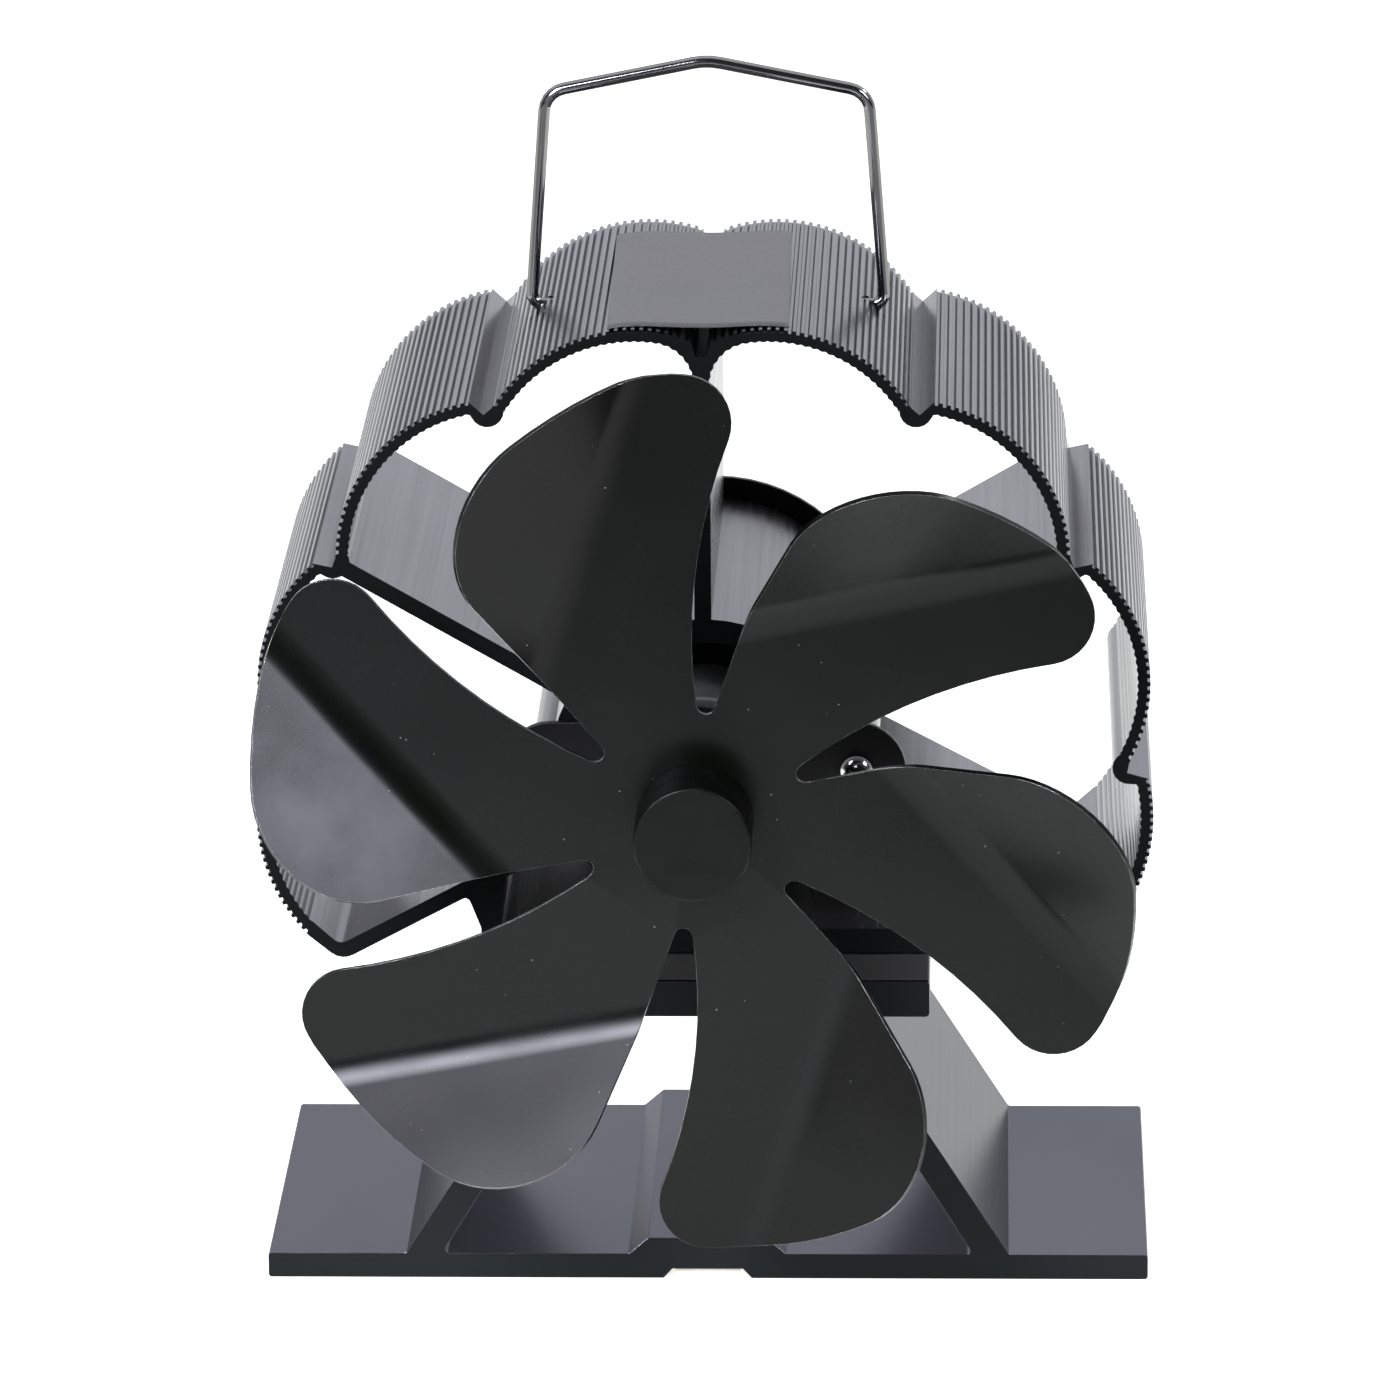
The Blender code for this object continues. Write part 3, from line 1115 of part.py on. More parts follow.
lead_level = teg_bottom + TEG_THICK / 2
lead_behind = COVER_BACK + SEAT_GAP
hub_floor = HUB_HEIGHT - HUB_INNER_R
tab_top = HUB_HEIGHT + TERMINAL_THICK / 2 + SEAT_GAP + LEAD_R
for side, name, material in ((-1, "lead_red", LEAD_RED), (1, "lead_black", LEAD_BLACK)):
    tab_x = MOTOR_X + side * (TERMINAL_X + terminal_half)
    lead_x = side * LEAD_X
    lead_route = [
        Vector((lead_x, TEG_SIDE / 2 - TEG_CORE_INSET + SEAT_GAP, lead_level)),
        Vector((lead_x, TEG_SIDE * 0.8, lead_level)),
        Vector((lead_x, SECTION_BACK - 4 * LEAD_R, lead_level)),
        Vector((lead_x, lead_behind, FOOT_BOTTOM + LEAD_R)),
        Vector((lead_x, lead_behind, FOOT_TOP + 2 * LEAD_R)),
        Vector((lead_x, lead_behind, hub_floor)),
        Vector((lead_x, SECTION_BACK - LEAD_R, hub_floor + 5 * LEAD_R)),
        Vector((lead_x, SECTION_BACK / 2, hub_floor + 7 * LEAD_R)),
        Vector(((lead_x + tab_x) / 2, 0, (hub_floor + HUB_HEIGHT) / 2)),
        Vector((tab_x, MOTOR_BACK + 2.2 * TERMINAL_LENGTH, tab_top - LEAD_R)),
        Vector((tab_x, MOTOR_BACK + TERMINAL_LENGTH, tab_top)),
        Vector((tab_x, MOTOR_BACK + TERMINAL_LENGTH / 3, tab_top)),
    ]
    lead_points = [point[:] for point in smooth_route(lead_route, LEAD_STEP)]
    add_object(name, tube_curve(name, lead_points, LEAD_R, 2), material)
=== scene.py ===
# %% [markdown]
# # Dressing a stove fan
#
# A stove fan stands on a hot plate. Its stand takes heat up into a small generator block, the lobed
# heatsink above cools the other side of that block, and a motor in the heatsink's hub turns six scooped
# blades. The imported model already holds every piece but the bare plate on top, each at its size and place.
# This lesson gives them the surface they have in life: anodised aluminium, satin black sheet, polished wire
# and plated screws.

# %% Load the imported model
import json
import math

import bmesh
import bpy
from mathutils import Matrix, Vector

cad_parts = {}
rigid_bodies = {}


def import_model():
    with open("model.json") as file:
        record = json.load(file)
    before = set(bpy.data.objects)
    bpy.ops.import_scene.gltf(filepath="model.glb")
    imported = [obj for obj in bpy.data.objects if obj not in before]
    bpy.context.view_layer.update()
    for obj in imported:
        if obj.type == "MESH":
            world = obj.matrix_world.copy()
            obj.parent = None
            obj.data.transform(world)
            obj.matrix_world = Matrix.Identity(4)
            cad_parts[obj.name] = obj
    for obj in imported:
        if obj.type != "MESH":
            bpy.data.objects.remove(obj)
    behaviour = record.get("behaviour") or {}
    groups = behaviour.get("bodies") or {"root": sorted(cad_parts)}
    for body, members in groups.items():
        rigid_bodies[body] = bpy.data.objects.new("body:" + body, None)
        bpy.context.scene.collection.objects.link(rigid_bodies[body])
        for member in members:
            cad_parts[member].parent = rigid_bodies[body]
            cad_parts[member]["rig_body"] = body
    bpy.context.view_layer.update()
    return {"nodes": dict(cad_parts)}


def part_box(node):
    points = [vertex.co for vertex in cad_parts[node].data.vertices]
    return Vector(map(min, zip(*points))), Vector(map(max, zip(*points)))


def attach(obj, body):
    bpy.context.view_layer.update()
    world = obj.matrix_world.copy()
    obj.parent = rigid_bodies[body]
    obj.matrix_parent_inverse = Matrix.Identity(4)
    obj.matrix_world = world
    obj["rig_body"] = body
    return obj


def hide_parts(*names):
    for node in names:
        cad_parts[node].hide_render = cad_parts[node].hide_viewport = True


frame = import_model()
NODES = frame["nodes"]

# %% [markdown]
# ## The camera
#
# The photograph was taken from a little above and a hair to the right, with a long lens, so the lines of
# the two extrusions hardly close towards the back. The camera is described the way a photographer would: a
# point to look at, a turn round it, a height above the horizon, a tilt and a distance.

# %% Set up the camera
stand_low, stand_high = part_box("base_extrusion")
STAND_MIDDLE_Y = (stand_low[1] + stand_high[1]) / 2
CAMERA_TARGET = Vector((-0.00218, STAND_MIDDLE_Y, 0.10938))
CAMERA_TURN = math.radians(1.791)
CAMERA_HEIGHT = math.radians(16.258)
CAMERA_TILT = math.radians(-0.426)
CAMERA_DISTANCE = 1.9642
CAMERA_LENS = 244.9
CAMERA_FILM = 36.0
CAMERA_SEES = 20


def camera_matrix(target, turn, height, tilt, distance):
    back = Vector((math.sin(turn) * math.cos(height), -math.cos(turn) * math.cos(height), math.sin(height)))
    level = Vector((math.cos(turn), math.sin(turn), 0))
    rise = back.cross(level)
    right = math.cos(tilt) * level + math.sin(tilt) * rise
    up = math.cos(tilt) * rise - math.sin(tilt) * level
    turned = Matrix((right, up, back)).transposed().to_4x4()
    return Matrix.Translation(target + distance * back) @ turned


lens = bpy.data.cameras.new("studio_camera")
lens.lens = CAMERA_LENS
lens.sensor_width = CAMERA_FILM
lens.sensor_fit = "HORIZONTAL"
lens.clip_end = CAMERA_SEES
camera = bpy.data.objects.new("studio_camera", lens)
bpy.context.scene.collection.objects.link(camera)
camera.matrix_world = camera_matrix(CAMERA_TARGET, CAMERA_TURN, CAMERA_HEIGHT, CAMERA_TILT, CAMERA_DISTANCE)
bpy.context.scene.camera = camera
bpy.context.scene.view_settings.view_transform = "Standard"
print("camera stands at", [round(v, 3) for v in camera.matrix_world.translation])

# %% [markdown]
# ## Nodes for materials
#
# Every finish below is a small tree of nodes. One short function adds a node and wires its inputs in the
# same line, so that a recipe reads from top to bottom. An input that is given a number keeps it, and one
# that is given another node's output is linked to it.

# %% Helpers for all node trees
def add_node(tree, kind, inputs=(), **settings):
    made = tree.nodes.new(kind)
    for name, value in settings.items():
        setattr(made, name, value)
    for socket, value in dict(inputs).items():
        if isinstance(value, bpy.types.NodeSocket):
            tree.links.new(value, made.inputs[socket])
        else:
            made.inputs[socket].default_value = value
    return made


def maths(tree, operation, *values):
    return add_node(tree, "ShaderNodeMath", enumerate(values), operation=operation).outputs["Value"]


def parts_of(tree, vector):
    """The three outputs X, Y and Z of a vector."""
    return add_node(tree, "ShaderNodeSeparateXYZ", {"Vector": vector}).outputs


def vector_of(tree, **parts):
    """One vector from its X, Y and Z, where a part that isn't named is 0."""
    return add_node(tree, "ShaderNodeCombineXYZ", parts).outputs["Vector"]


def spread(tree, value, low, high, start=0.3, end=0.7, **settings):
    """Maps start to end onto low to high and holds the ends. Most of a noise lies between 0.3 and 0.7."""
    return add_node(tree, "ShaderNodeMapRange", {
        "Value": value, "From Min": start, "From Max": end, "To Min": low, "To Max": high,
    }, **settings).outputs["Result"]


print("helpers for node trees ready")

# %% Helpers for finishes
def new_finish(name, **shader_values):
    """A material with its tree, its shader and the place on the object that its patterns are read from."""
    finish = bpy.data.materials.new(name)
    finish.use_nodes = True
    tree = finish.node_tree
    shader = tree.nodes["Principled BSDF"]
    for socket, value in shader_values.items():
        shader.inputs[socket.replace("_", " ")].default_value = value
    place = add_node(tree, "ShaderNodeTexCoord")
    return finish, tree, shader, place


def noise_along(tree, place, waves, detail):
    """Noise with so many waves per metre, in all directions or along X, Y and Z of the object."""
    scale = waves if isinstance(waves, tuple) else (waves, waves, waves)
    stretched = add_node(tree, "ShaderNodeMapping", {"Vector": place.outputs["Object"], "Scale": scale})
    return add_node(tree, "ShaderNodeTexNoise", {
        "Vector": stretched.outputs["Vector"], "Scale": 1.0, "Detail": detail, "Roughness": 0.55,
    }).outputs["Fac"]


def blend_colours(tree, share, first, second):
    """The first colour where the share is 0 and the second where it is 1."""
    mix = add_node(tree, "ShaderNodeMix", {0: share}, data_type="RGBA")
    for socket, colour in ((mix.inputs[6], first), (mix.inputs[7], second)):
        if isinstance(colour, bpy.types.NodeSocket):
            tree.links.new(colour, socket)
        else:
            socket.default_value = (*colour, 1)
    return mix.outputs[2]


def press_in(tree, shader, height, depth, strength):
    """Fine relief: height from 0 to 1 stands depth metres proud."""
    bump = add_node(tree, "ShaderNodeBump", {"Height": height, "Distance": depth, "Strength": strength})
    tree.links.new(bump.outputs["Normal"], shader.inputs["Normal"])
    return bump


print("helpers for finishes ready")

# %% [markdown]
# ## Anodised extrusion
#
# Both aluminium sections were pushed through a die, sawn to length and dyed dark. The die leaves faint
# lines along the section, here along Y, and the saw leaves short marks across the two cut ends. The long
# faces keep their metallic gloss under the dye and turn lilac-grey where light grazes them. The sawn ends
# are rough, soak up more dye and stay nearly black, so they get no metallic share and a duller tone. They
# are found by the direction that a face looks in.
#
# The heatsink's inner faces low down round the generator block are nearly black, as little light gets in
# between the walls there. That shade is painted in as a dark zone. What darkens them there can't be made
# out, so a dull dark zone stands in for it. It is found by its place, and the metallic share fades to
# nothing inside it.

# %% Anodised aluminium sections
DIE_WAVES = (900, 6, 900)
DYE_WAVES = (22, 14, 22)
SAW_WAVES = (260, 60, 2600)
CUT_END_FACING = 0.97
SAWN_ROUGHER = (0.10, 0.22)
SECTION_RELIEF = 0.00002
RELIEF_OF_STREAKS = 3
PAINTED_SHADE_FADES_SIDEWAYS = (0.034, 0.050)
PAINTED_SHADE_FADES_UPWARDS = (0.102, 0.112)


def painted_shade_zone(tree, place):
    """1 where shade is painted, low down round the generator block, fading to 0 sideways and upwards."""
    spot = parts_of(tree, place.outputs["Object"])
    sideways = spread(tree, maths(tree, "ABSOLUTE", spot["X"]), 1.0, 0.0, *PAINTED_SHADE_FADES_SIDEWAYS)
    upwards = spread(tree, spot["Z"], 1.0, 0.0, *PAINTED_SHADE_FADES_UPWARDS)
    return maths(tree, "MULTIPLY", sideways, upwards)


def anodised_section(name, dark, light, sawn, roughness, ior, streaks, rim, painted_shade_share=1.0):
    """Rim darkens what is mirrored at a grazing angle. Painted shade share is the share of dark left in the
    painted shade.
    """
    finish, tree, shader, place = new_finish(name, IOR=ior, Specular_Tint=(rim, rim, rim, 1))
    die_lines = noise_along(tree, place, DIE_WAVES, detail=2)
    dye_clouds = noise_along(tree, place, DYE_WAVES, detail=3)
    saw_marks = noise_along(tree, place, SAW_WAVES, detail=2)
    facing = maths(tree, "ABSOLUTE", parts_of(tree, place.outputs["Normal"])["Y"])
    cut_end = maths(tree, "GREATER_THAN", facing, CUT_END_FACING)
    dyed = blend_colours(tree, spread(tree, dye_clouds, 0.0, 1.0), dark, light)
    bright = maths(tree, "SUBTRACT", 1.0, cut_end)
    # Painted shade: round the generator block the dyed colour darkens and the metallic share fades out.
    if painted_shade_share < 1:
        zone = painted_shade_zone(tree, place)
        dyed = blend_colours(tree, zone, dyed, [painted_shade_share * level for level in dark])
        bright = maths(tree, "MULTIPLY", bright, maths(tree, "SUBTRACT", 1.0, zone))
    tree.links.new(blend_colours(tree, cut_end, dyed, sawn), shader.inputs["Base Color"])
    tree.links.new(bright, shader.inputs["Metallic"])
    along = spread(tree, die_lines, roughness - streaks, roughness + streaks)
    across = spread(tree, saw_marks, roughness + SAWN_ROUGHER[0], roughness + SAWN_ROUGHER[1])
    rough = add_node(tree, "ShaderNodeMix", {0: cut_end, 2: along, 3: across})
    tree.links.new(rough.outputs[0], shader.inputs["Roughness"])
    relief = add_node(tree, "ShaderNodeMix", {0: cut_end, 2: die_lines, 3: saw_marks})
    press_in(tree, shader, relief.outputs[0], depth=SECTION_RELIEF, strength=streaks * RELIEF_OF_STREAKS)
    return finish


BASE_FINISH = anodised_section(
    "base_anodised", dark=(0.180, 0.186, 0.212), light=(0.205, 0.211, 0.238),
    sawn=(0.010, 0.012, 0.012), roughness=0.22, ior=1.20, streaks=0.01, rim=0.50)
# The heatsink's finish carries painted shade low down round the generator block.
SINK_FINISH = anodised_section(
    "heatsink_anodised", dark=(0.112, 0.111, 0.124), light=(0.142, 0.141, 0.157),
    sawn=(0.0050, 0.0058, 0.0058), roughness=0.25, ior=1.10, streaks=0.04, rim=1.0, painted_shade_share=0.22)
print("section finishes:", BASE_FINISH.name, SINK_FINISH.name)

# %% [markdown]
# ## Satin black sheet
#
# The blades are stamped from sheet and blackened. Close up, the coat has a fine grain with a few lighter
# specks of dust in it, its gloss drifts a little over the width of a blade, and the sheet is never quite
# flat, so what it mirrors is softly bent. The bracket, the cover and the two moulded pieces have the same
# kind of surface, only duller.
#
# The punch leaves a burr along every cut, and the coat wears through there first, so the rounded cut edges
# show as a thin broken bright line.

# %% Satin black finishes
DRIFT_WAVES = 38
GRAIN_WAVES = 5200
SHEET_WAVES = 24
SPECK_CELLS = 900.0
SPECK_SIZE = 0.17
SPECK_RARITY = 0.968
COAT_RELIEF = 0.000012
GLOSS_DRIFT = (-0.04, 0.05)
GLOSS_GRAIN = (-0.03, 0.03)
WEAR_WAVES = 200
WEAR_SHOWS = (0.34, 0.50)


def dust_specks(tree, place):
    """1 on a few small round specks and 0 between them: most cells of the pattern stay empty."""
    cells = add_node(tree, "ShaderNodeTexVoronoi", {
        "Vector": place.outputs["Object"], "Scale": SPECK_CELLS, "Randomness": 1.0})
    lot = add_node(tree, "ShaderNodeSeparateColor", {"Color": cells.outputs["Color"]}).outputs
    size = maths(tree, "MULTIPLY", lot["Green"], SPECK_SIZE)
    near = maths(tree, "LESS_THAN", cells.outputs["Distance"], size)
    return maths(tree, "MULTIPLY", near, maths(tree, "GREATER_THAN", lot["Red"], SPECK_RARITY))


def satin_black(name, colour, fleck, roughness, ior=1.4, waviness=0.0):
    finish, tree, shader, place = new_finish(name, IOR=ior)
    drift = noise_along(tree, place, DRIFT_WAVES, detail=3)
    fine = noise_along(tree, place, GRAIN_WAVES, detail=2)
    dusty = blend_colours(tree, dust_specks(tree, place), colour, fleck)
    tree.links.new(dusty, shader.inputs["Base Color"])
    broad = spread(tree, drift, roughness + GLOSS_DRIFT[0], roughness + GLOSS_DRIFT[1])
    gloss = maths(tree, "ADD", broad, spread(tree, fine, *GLOSS_GRAIN))
    tree.links.new(gloss, shader.inputs["Roughness"])
    grain = press_in(tree, shader, fine, depth=COAT_RELIEF, strength=0.25)
    if waviness:
        waves = noise_along(tree, place, SHEET_WAVES, detail=1)
        wavy = add_node(tree, "ShaderNodeBump", {"Height": waves, "Distance": waviness, "Strength": 1.0})
        tree.links.new(wavy.outputs["Normal"], grain.inputs["Normal"])
    return finish


def worn_edge(name, coat, bare):
    finish, tree, shader, place = new_finish(name, Roughness=0.34)
    wear = spread(tree, noise_along(tree, place, WEAR_WAVES, detail=4), 0.0, 1.0, *WEAR_SHOWS)
    tree.links.new(blend_colours(tree, wear, coat, bare), shader.inputs["Base Color"])
    tree.links.new(wear, shader.inputs["Metallic"])
    return finish


FAN_FINISH = satin_black("blade_satin_black", (0.0014, 0.0018, 0.0011), (0.10, 0.10, 0.10),
                         roughness=0.25, ior=1.28, waviness=0.0008)
BRACKET_FINISH = satin_black("bracket_satin_black", (0.004, 0.004, 0.004), (0.03, 0.03, 0.03), 0.36)
COVER_FINISH = satin_black("cover_satin_black", (0.009, 0.009, 0.009), (0.03, 0.03, 0.03), 0.42)
FRAME_FINISH = satin_black("frame_matt_black", (0.010, 0.010, 0.010), (0.02, 0.02, 0.02), 0.60)
BELL_FINISH = satin_black("end_bell_moulded", (0.012, 0.012, 0.012), (0.02, 0.02, 0.02), 0.45)
WORN_EDGE_FINISH = worn_edge("blade_worn_edge", coat=(0.012, 0.012, 0.012), bare=(0.62, 0.62, 0.62))
print("satin black finishes made, with the worn edge")

# %% [markdown]
# ## Turned black hub
#
# The drum in front of the blades and the collar behind them are turned and blackened, so the tool's marks
# run in rings round the shaft. The rings are a noise in one dimension, read from the distance to the axis.

# %% Turned black finish
FAN_AXIS = Vector((-0.0008, 0.0, 0.1091))
RINGS_PER_METRE = 3200.0
RING_RELIEF = 0.00001
HUB_CLOUD_WAVES = 160
LIGHTER_CLOUDS = 1.8
HUB_GLOSS_DRIFT = (-0.05, 0.06)


def turned_black(name, colour, roughness):
    finish, tree, shader, place = new_finish(name, IOR=1.23)
    centred = add_node(tree, "ShaderNodeMapping", {
        "Vector": place.outputs["Object"], "Location": tuple(-FAN_AXIS)})
    spot = parts_of(tree, centred.outputs["Vector"])
    square = maths(tree, "ADD", maths(tree, "POWER", spot["X"], 2.0), maths(tree, "POWER", spot["Z"], 2.0))
    from_axis = maths(tree, "SQRT", square)
    rings = add_node(tree, "ShaderNodeTexNoise", {
        "W": maths(tree, "MULTIPLY", from_axis, RINGS_PER_METRE), "Scale": 1.0, "Detail": 2.0,
    }, noise_dimensions="1D")
    clouds = noise_along(tree, place, HUB_CLOUD_WAVES, detail=3)
    tone = blend_colours(tree, spread(tree, clouds, 0, 1), colour, [c * LIGHTER_CLOUDS for c in colour])
    tree.links.new(tone, shader.inputs["Base Color"])
    gloss = spread(tree, clouds, roughness + HUB_GLOSS_DRIFT[0], roughness + HUB_GLOSS_DRIFT[1])
    tree.links.new(gloss, shader.inputs["Roughness"])
    press_in(tree, shader, rings.outputs["Fac"], depth=RING_RELIEF, strength=0.3)
    return finish


HUB_FINISH = turned_black("hub_turned_black", (0.0018, 0.0022, 0.0016), 0.30)
print("turned finish:", HUB_FINISH.name)

# %% [markdown]
# ## Bright metal
#
# The wire handle, the screws, the motor's can and the shaft are bare or plated metal. Each has its own
# gloss, and a grain as fine as the one its making leaves: drawn wire is streaked along its length, plating
# is almost smooth, and a can pressed from tinned sheet has broad soft clouds.

# %% Bright metal finishes
CLOUD_WAVES = 90
DARKER_STREAKS = 0.82


def bright_metal(name, colour, roughness, grain_waves, grain=0.05, depth=0.000006, rim=1.0, metal=1.0):
    finish, tree, shader, place = new_finish(name, Metallic=metal, Specular_Tint=(rim, rim, rim, 1))
    streaks = noise_along(tree, place, grain_waves, detail=3)
    clouds = noise_along(tree, place, CLOUD_WAVES, detail=4)
    tone = maths(tree, "ADD", maths(tree, "MULTIPLY", streaks, 0.5), maths(tree, "MULTIPLY", clouds, 0.5))
    shade = blend_colours(tree, spread(tree, tone, 0, 1), [c * DARKER_STREAKS for c in colour], colour)
    tree.links.new(shade, shader.inputs["Base Color"])
    tree.links.new(spread(tree, tone, roughness - grain, roughness + grain), shader.inputs["Roughness"])
    press_in(tree, shader, streaks, depth, strength=0.3)
    return finish


WIRE_FINISH = bright_metal("handle_drawn_wire", (0.30, 0.30, 0.295), 0.10, (1800, 1800, 120), rim=0.35)
SCREW_FINISH = bright_metal("screw_plating", (0.78, 0.78, 0.77), 0.14, 1500, 0.04)
CAN_FINISH = bright_metal("motor_can_plate", (0.60, 0.62, 0.62), 0.38, (900, 60, 900), metal=0.55)
SHAFT_FINISH = bright_metal("shaft_ground", (0.62, 0.62, 0.62), 0.20, (60, 2400, 60))
BUSH_FINISH = bright_metal("bush_bronze", (0.60, 0.42, 0.22), 0.36, 2200)
TERMINAL_FINISH = bright_metal("terminal_brass", (0.76, 0.60, 0.30), 0.28, (900, 900, 200))
STRIP_FINISH = bright_metal("bimetal_rolled", (0.56, 0.53, 0.47), 0.32, (1600, 20, 1600))
COPPER_FINISH = bright_metal("armature_winding", (0.66, 0.30, 0.14), 0.34, (300, 4000, 300), 0.06, 0.00004)
print("bright metals made")

# %% [markdown]
# ## Ceramic, pads and wire jackets
#
# The rest is hardly seen, but it shows from behind and below: a white ceramic sandwich, grey soft
# pads, sintered magnets, and two leads in smooth coloured jackets.

# %% Dull finishes
DULL_RELIEF = 0.00001
DULL_DRIFT = 0.05


def dull_finish(name, dark, light, roughness, waves):
    finish, tree, shader, place = new_finish(name, IOR=1.48)
    grain = noise_along(tree, place, waves, detail=4)
    tree.links.new(blend_colours(tree, spread(tree, grain, 0, 1), dark, light), shader.inputs["Base Color"])
    gloss = spread(tree, grain, roughness - DULL_DRIFT, roughness + DULL_DRIFT)
    tree.links.new(gloss, shader.inputs["Roughness"])
    press_in(tree, shader, grain, depth=DULL_RELIEF, strength=0.4)
    return finish


CERAMIC_FINISH = dull_finish("generator_ceramic", (0.72, 0.72, 0.70), (0.80, 0.80, 0.78), 0.50, 900)
PAD_FINISH = dull_finish("thermal_pad_grey", (0.20, 0.20, 0.21), (0.26, 0.26, 0.27), 0.80, 1400)
MAGNET_FINISH = dull_finish("magnet_sintered", (0.040, 0.040, 0.044), (0.060, 0.060, 0.064), 0.55, 1800)
RED_FINISH = dull_finish("lead_jacket_red", (0.46, 0.016, 0.014), (0.54, 0.022, 0.018), 0.38, 500)
BLACK_FINISH = dull_finish("lead_jacket_black", (0.010, 0.010, 0.010), (0.016, 0.016, 0.016), 0.40, 500)
print("dull finishes made")

# %% [markdown]
# ## Taking over the CAD pieces
#
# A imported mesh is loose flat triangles. For each piece that shows, a copy is merged, its coplanar triangles
# are joined, its sharp edges get a narrow round that catches the light as a real edge does, and its curved
# faces are shaded smooth. Weighted normals keep the flat faces flat. The copy then takes the node's place
# and rides on the node's body.

# %% The rule for a dressed copy
MERGE_DISTANCE = 0.000004
COPLANAR_ANGLE = math.radians(0.2)
ROUND_SHADING = math.radians(38)
EDGE_SEGMENTS = 2


def plain_mesh(item, name):
    """Gives an object the mesh that its modifiers make, with the modifiers gone."""
    bpy.context.view_layer.update()
    seen = item.evaluated_get(bpy.context.evaluated_depsgraph_get())
    mesh = bpy.data.meshes.new_from_object(seen, preserve_all_data_layers=True,
                                           depsgraph=bpy.context.evaluated_depsgraph_get())
    mesh.name = name
    item.modifiers.clear()
    item.data = mesh


def joined_mesh(source, name):
    """The node's triangles merged into whole faces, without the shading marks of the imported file."""
    shape = bmesh.new()
    shape.from_mesh(source.data)
    bmesh.ops.remove_doubles(shape, verts=shape.verts[:], dist=MERGE_DISTANCE)
    bmesh.ops.dissolve_limit(shape, angle_limit=COPLANAR_ANGLE, verts=shape.verts[:], edges=shape.edges[:])
    mesh = bpy.data.meshes.new(name)
    shape.to_mesh(mesh)
    shape.free()
    for layer in ("custom_normal", "sharp_face", "sharp_edge"):
        if layer in mesh.attributes:
            mesh.attributes.remove(mesh.attributes[layer])
    mesh.shade_smooth()
    mesh.set_sharp_from_angle(angle=ROUND_SHADING)
    mesh.materials.clear()
    return mesh


def dressed_copy(node, name, finish, edge, edge_finish):
    source = NODES[node]
    mesh = joined_mesh(source, name)
    mesh.materials.append(finish)
    piece = bpy.data.objects.new(name, mesh)
    bpy.context.scene.collection.objects.link(piece)
    if edge:
        rounding = piece.modifiers.new("edge_round", "BEVEL")
        rounding.width = edge
        rounding.segments = EDGE_SEGMENTS
        rounding.limit_method = "ANGLE"
        rounding.angle_limit = ROUND_SHADING
        rounding.use_clamp_overlap = True
        if edge_finish:
            mesh.materials.append(edge_finish)
            rounding.material = 1
    weighted = piece.modifiers.new("flat_faces_flat", "WEIGHTED_NORMAL")
    weighted.keep_sharp = True
    plain_mesh(piece, name)
    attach(piece, source["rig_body"])
    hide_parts(node)
    return piece


print("rule for dressed copies ready")

# %% [markdown]
# ## Which piece gets what
#
# Each row names a node, its finish and the width of its rounded edges in metres. Punched and sawn metal has
# edges of two or three tenths of a millimetre, and a pressed can has wider ones. The heatsink's many small
# flutes keep their plain corners, which saves a great many faces.

# %% Make the dressed copies
DRESSED = (
    ("base_extrusion", BASE_FINISH, 0.00020),
    ("heatsink_extrusion", SINK_FINISH, 0.0),
    ("insulating_frame", FRAME_FINISH, 0.00025),
    ("front_bracket", BRACKET_FINISH, 0.00018),
    ("rear_cover", COVER_FINISH, 0.00018),
    ("fan_blades", FAN_FINISH, 0.00026),
    ("fan_hub", HUB_FINISH, 0.0),
    ("hub_collar", HUB_FINISH, 0.0003),
    ("motor_can", CAN_FINISH, 0.0006),
    ("motor_end_bell", BELL_FINISH, 0.0003),
    ("motor_bush", BUSH_FINISH, 0.00015),
    ("motor_shaft", SHAFT_FINISH, 0.00015),
    ("motor_armature", COPPER_FINISH, 0.0),
    ("wire_handle", WIRE_FINISH, 0.0),
    ("lead_red", RED_FINISH, 0.0),
    ("lead_black", BLACK_FINISH, 0.0),
    ("teg_module", CERAMIC_FINISH, 0.0001),
    ("bimetal_strip", STRIP_FINISH, 0.0001),
    ("set_screw", SHAFT_FINISH, 0.0001),
    ("strip_rivet", CAN_FINISH, 0.0003),
)
EDGE_FINISHES = {"fan_blades": WORN_EDGE_FINISH}
dressed = [dressed_copy(node, node + "_dressed", finish, edge, EDGE_FINISHES.get(node))
           for node, finish, edge in DRESSED]
print("dressed copies:", len(dressed))

# %% [markdown]
# ## Pieces that keep their own mesh
#
# The pads, the magnets and the terminals are plain blocks deep inside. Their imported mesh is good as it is,
# so they only get a better material.

# %% Repaint six nodes
REPAINTED = {
    "thermal_pad_lower": PAD_FINISH, "thermal_pad_upper": PAD_FINISH,
    "motor_magnet_left": MAGNET_FINISH, "motor_magnet_right": MAGNET_FINISH,
    "motor_terminal_left": TERMINAL_FINISH, "motor_terminal_right": TERMINAL_FINISH,
}
for node, finish in REPAINTED.items():
    NODES[node].material_slots[0].material = finish
print("repainted nodes:", len(REPAINTED))

# %% [markdown]
# ## Screws
#
# Ten pan-head machine screws hold the fan together: four clamp the stand to the heatsink from below, two
# hold the bracket, two the motor and two the rear cover. They differ only in size, so one rule makes them
# all. The head is a disc whose top falls away towards its rim, and a tapered cross is cut into it. The rule
# works in millimetres, because the exact cut is surer on numbers near one, and the finished mesh is scaled
# to metres.

# %% The parts of a cross-slotted screw
HEAD_SIDES = 64
HEAD_RINGS = 8
HEAD_LAYERS = 4
HEAD_FALL = 0.55
HEAD_FALL_POWER = 1.8
SHANK_SIDES = 40
SHANK_IN_HEAD_SHARE = 0.25
SLOT_TAPER = 0.45
SLOT_THICKNESS_SHARE = 0.24


def moved(rule, geometry, **by):
    return add_node(rule, "GeometryNodeTransform", {
        "Geometry": geometry, "Translation": vector_of(rule, **by)}).outputs["Geometry"]


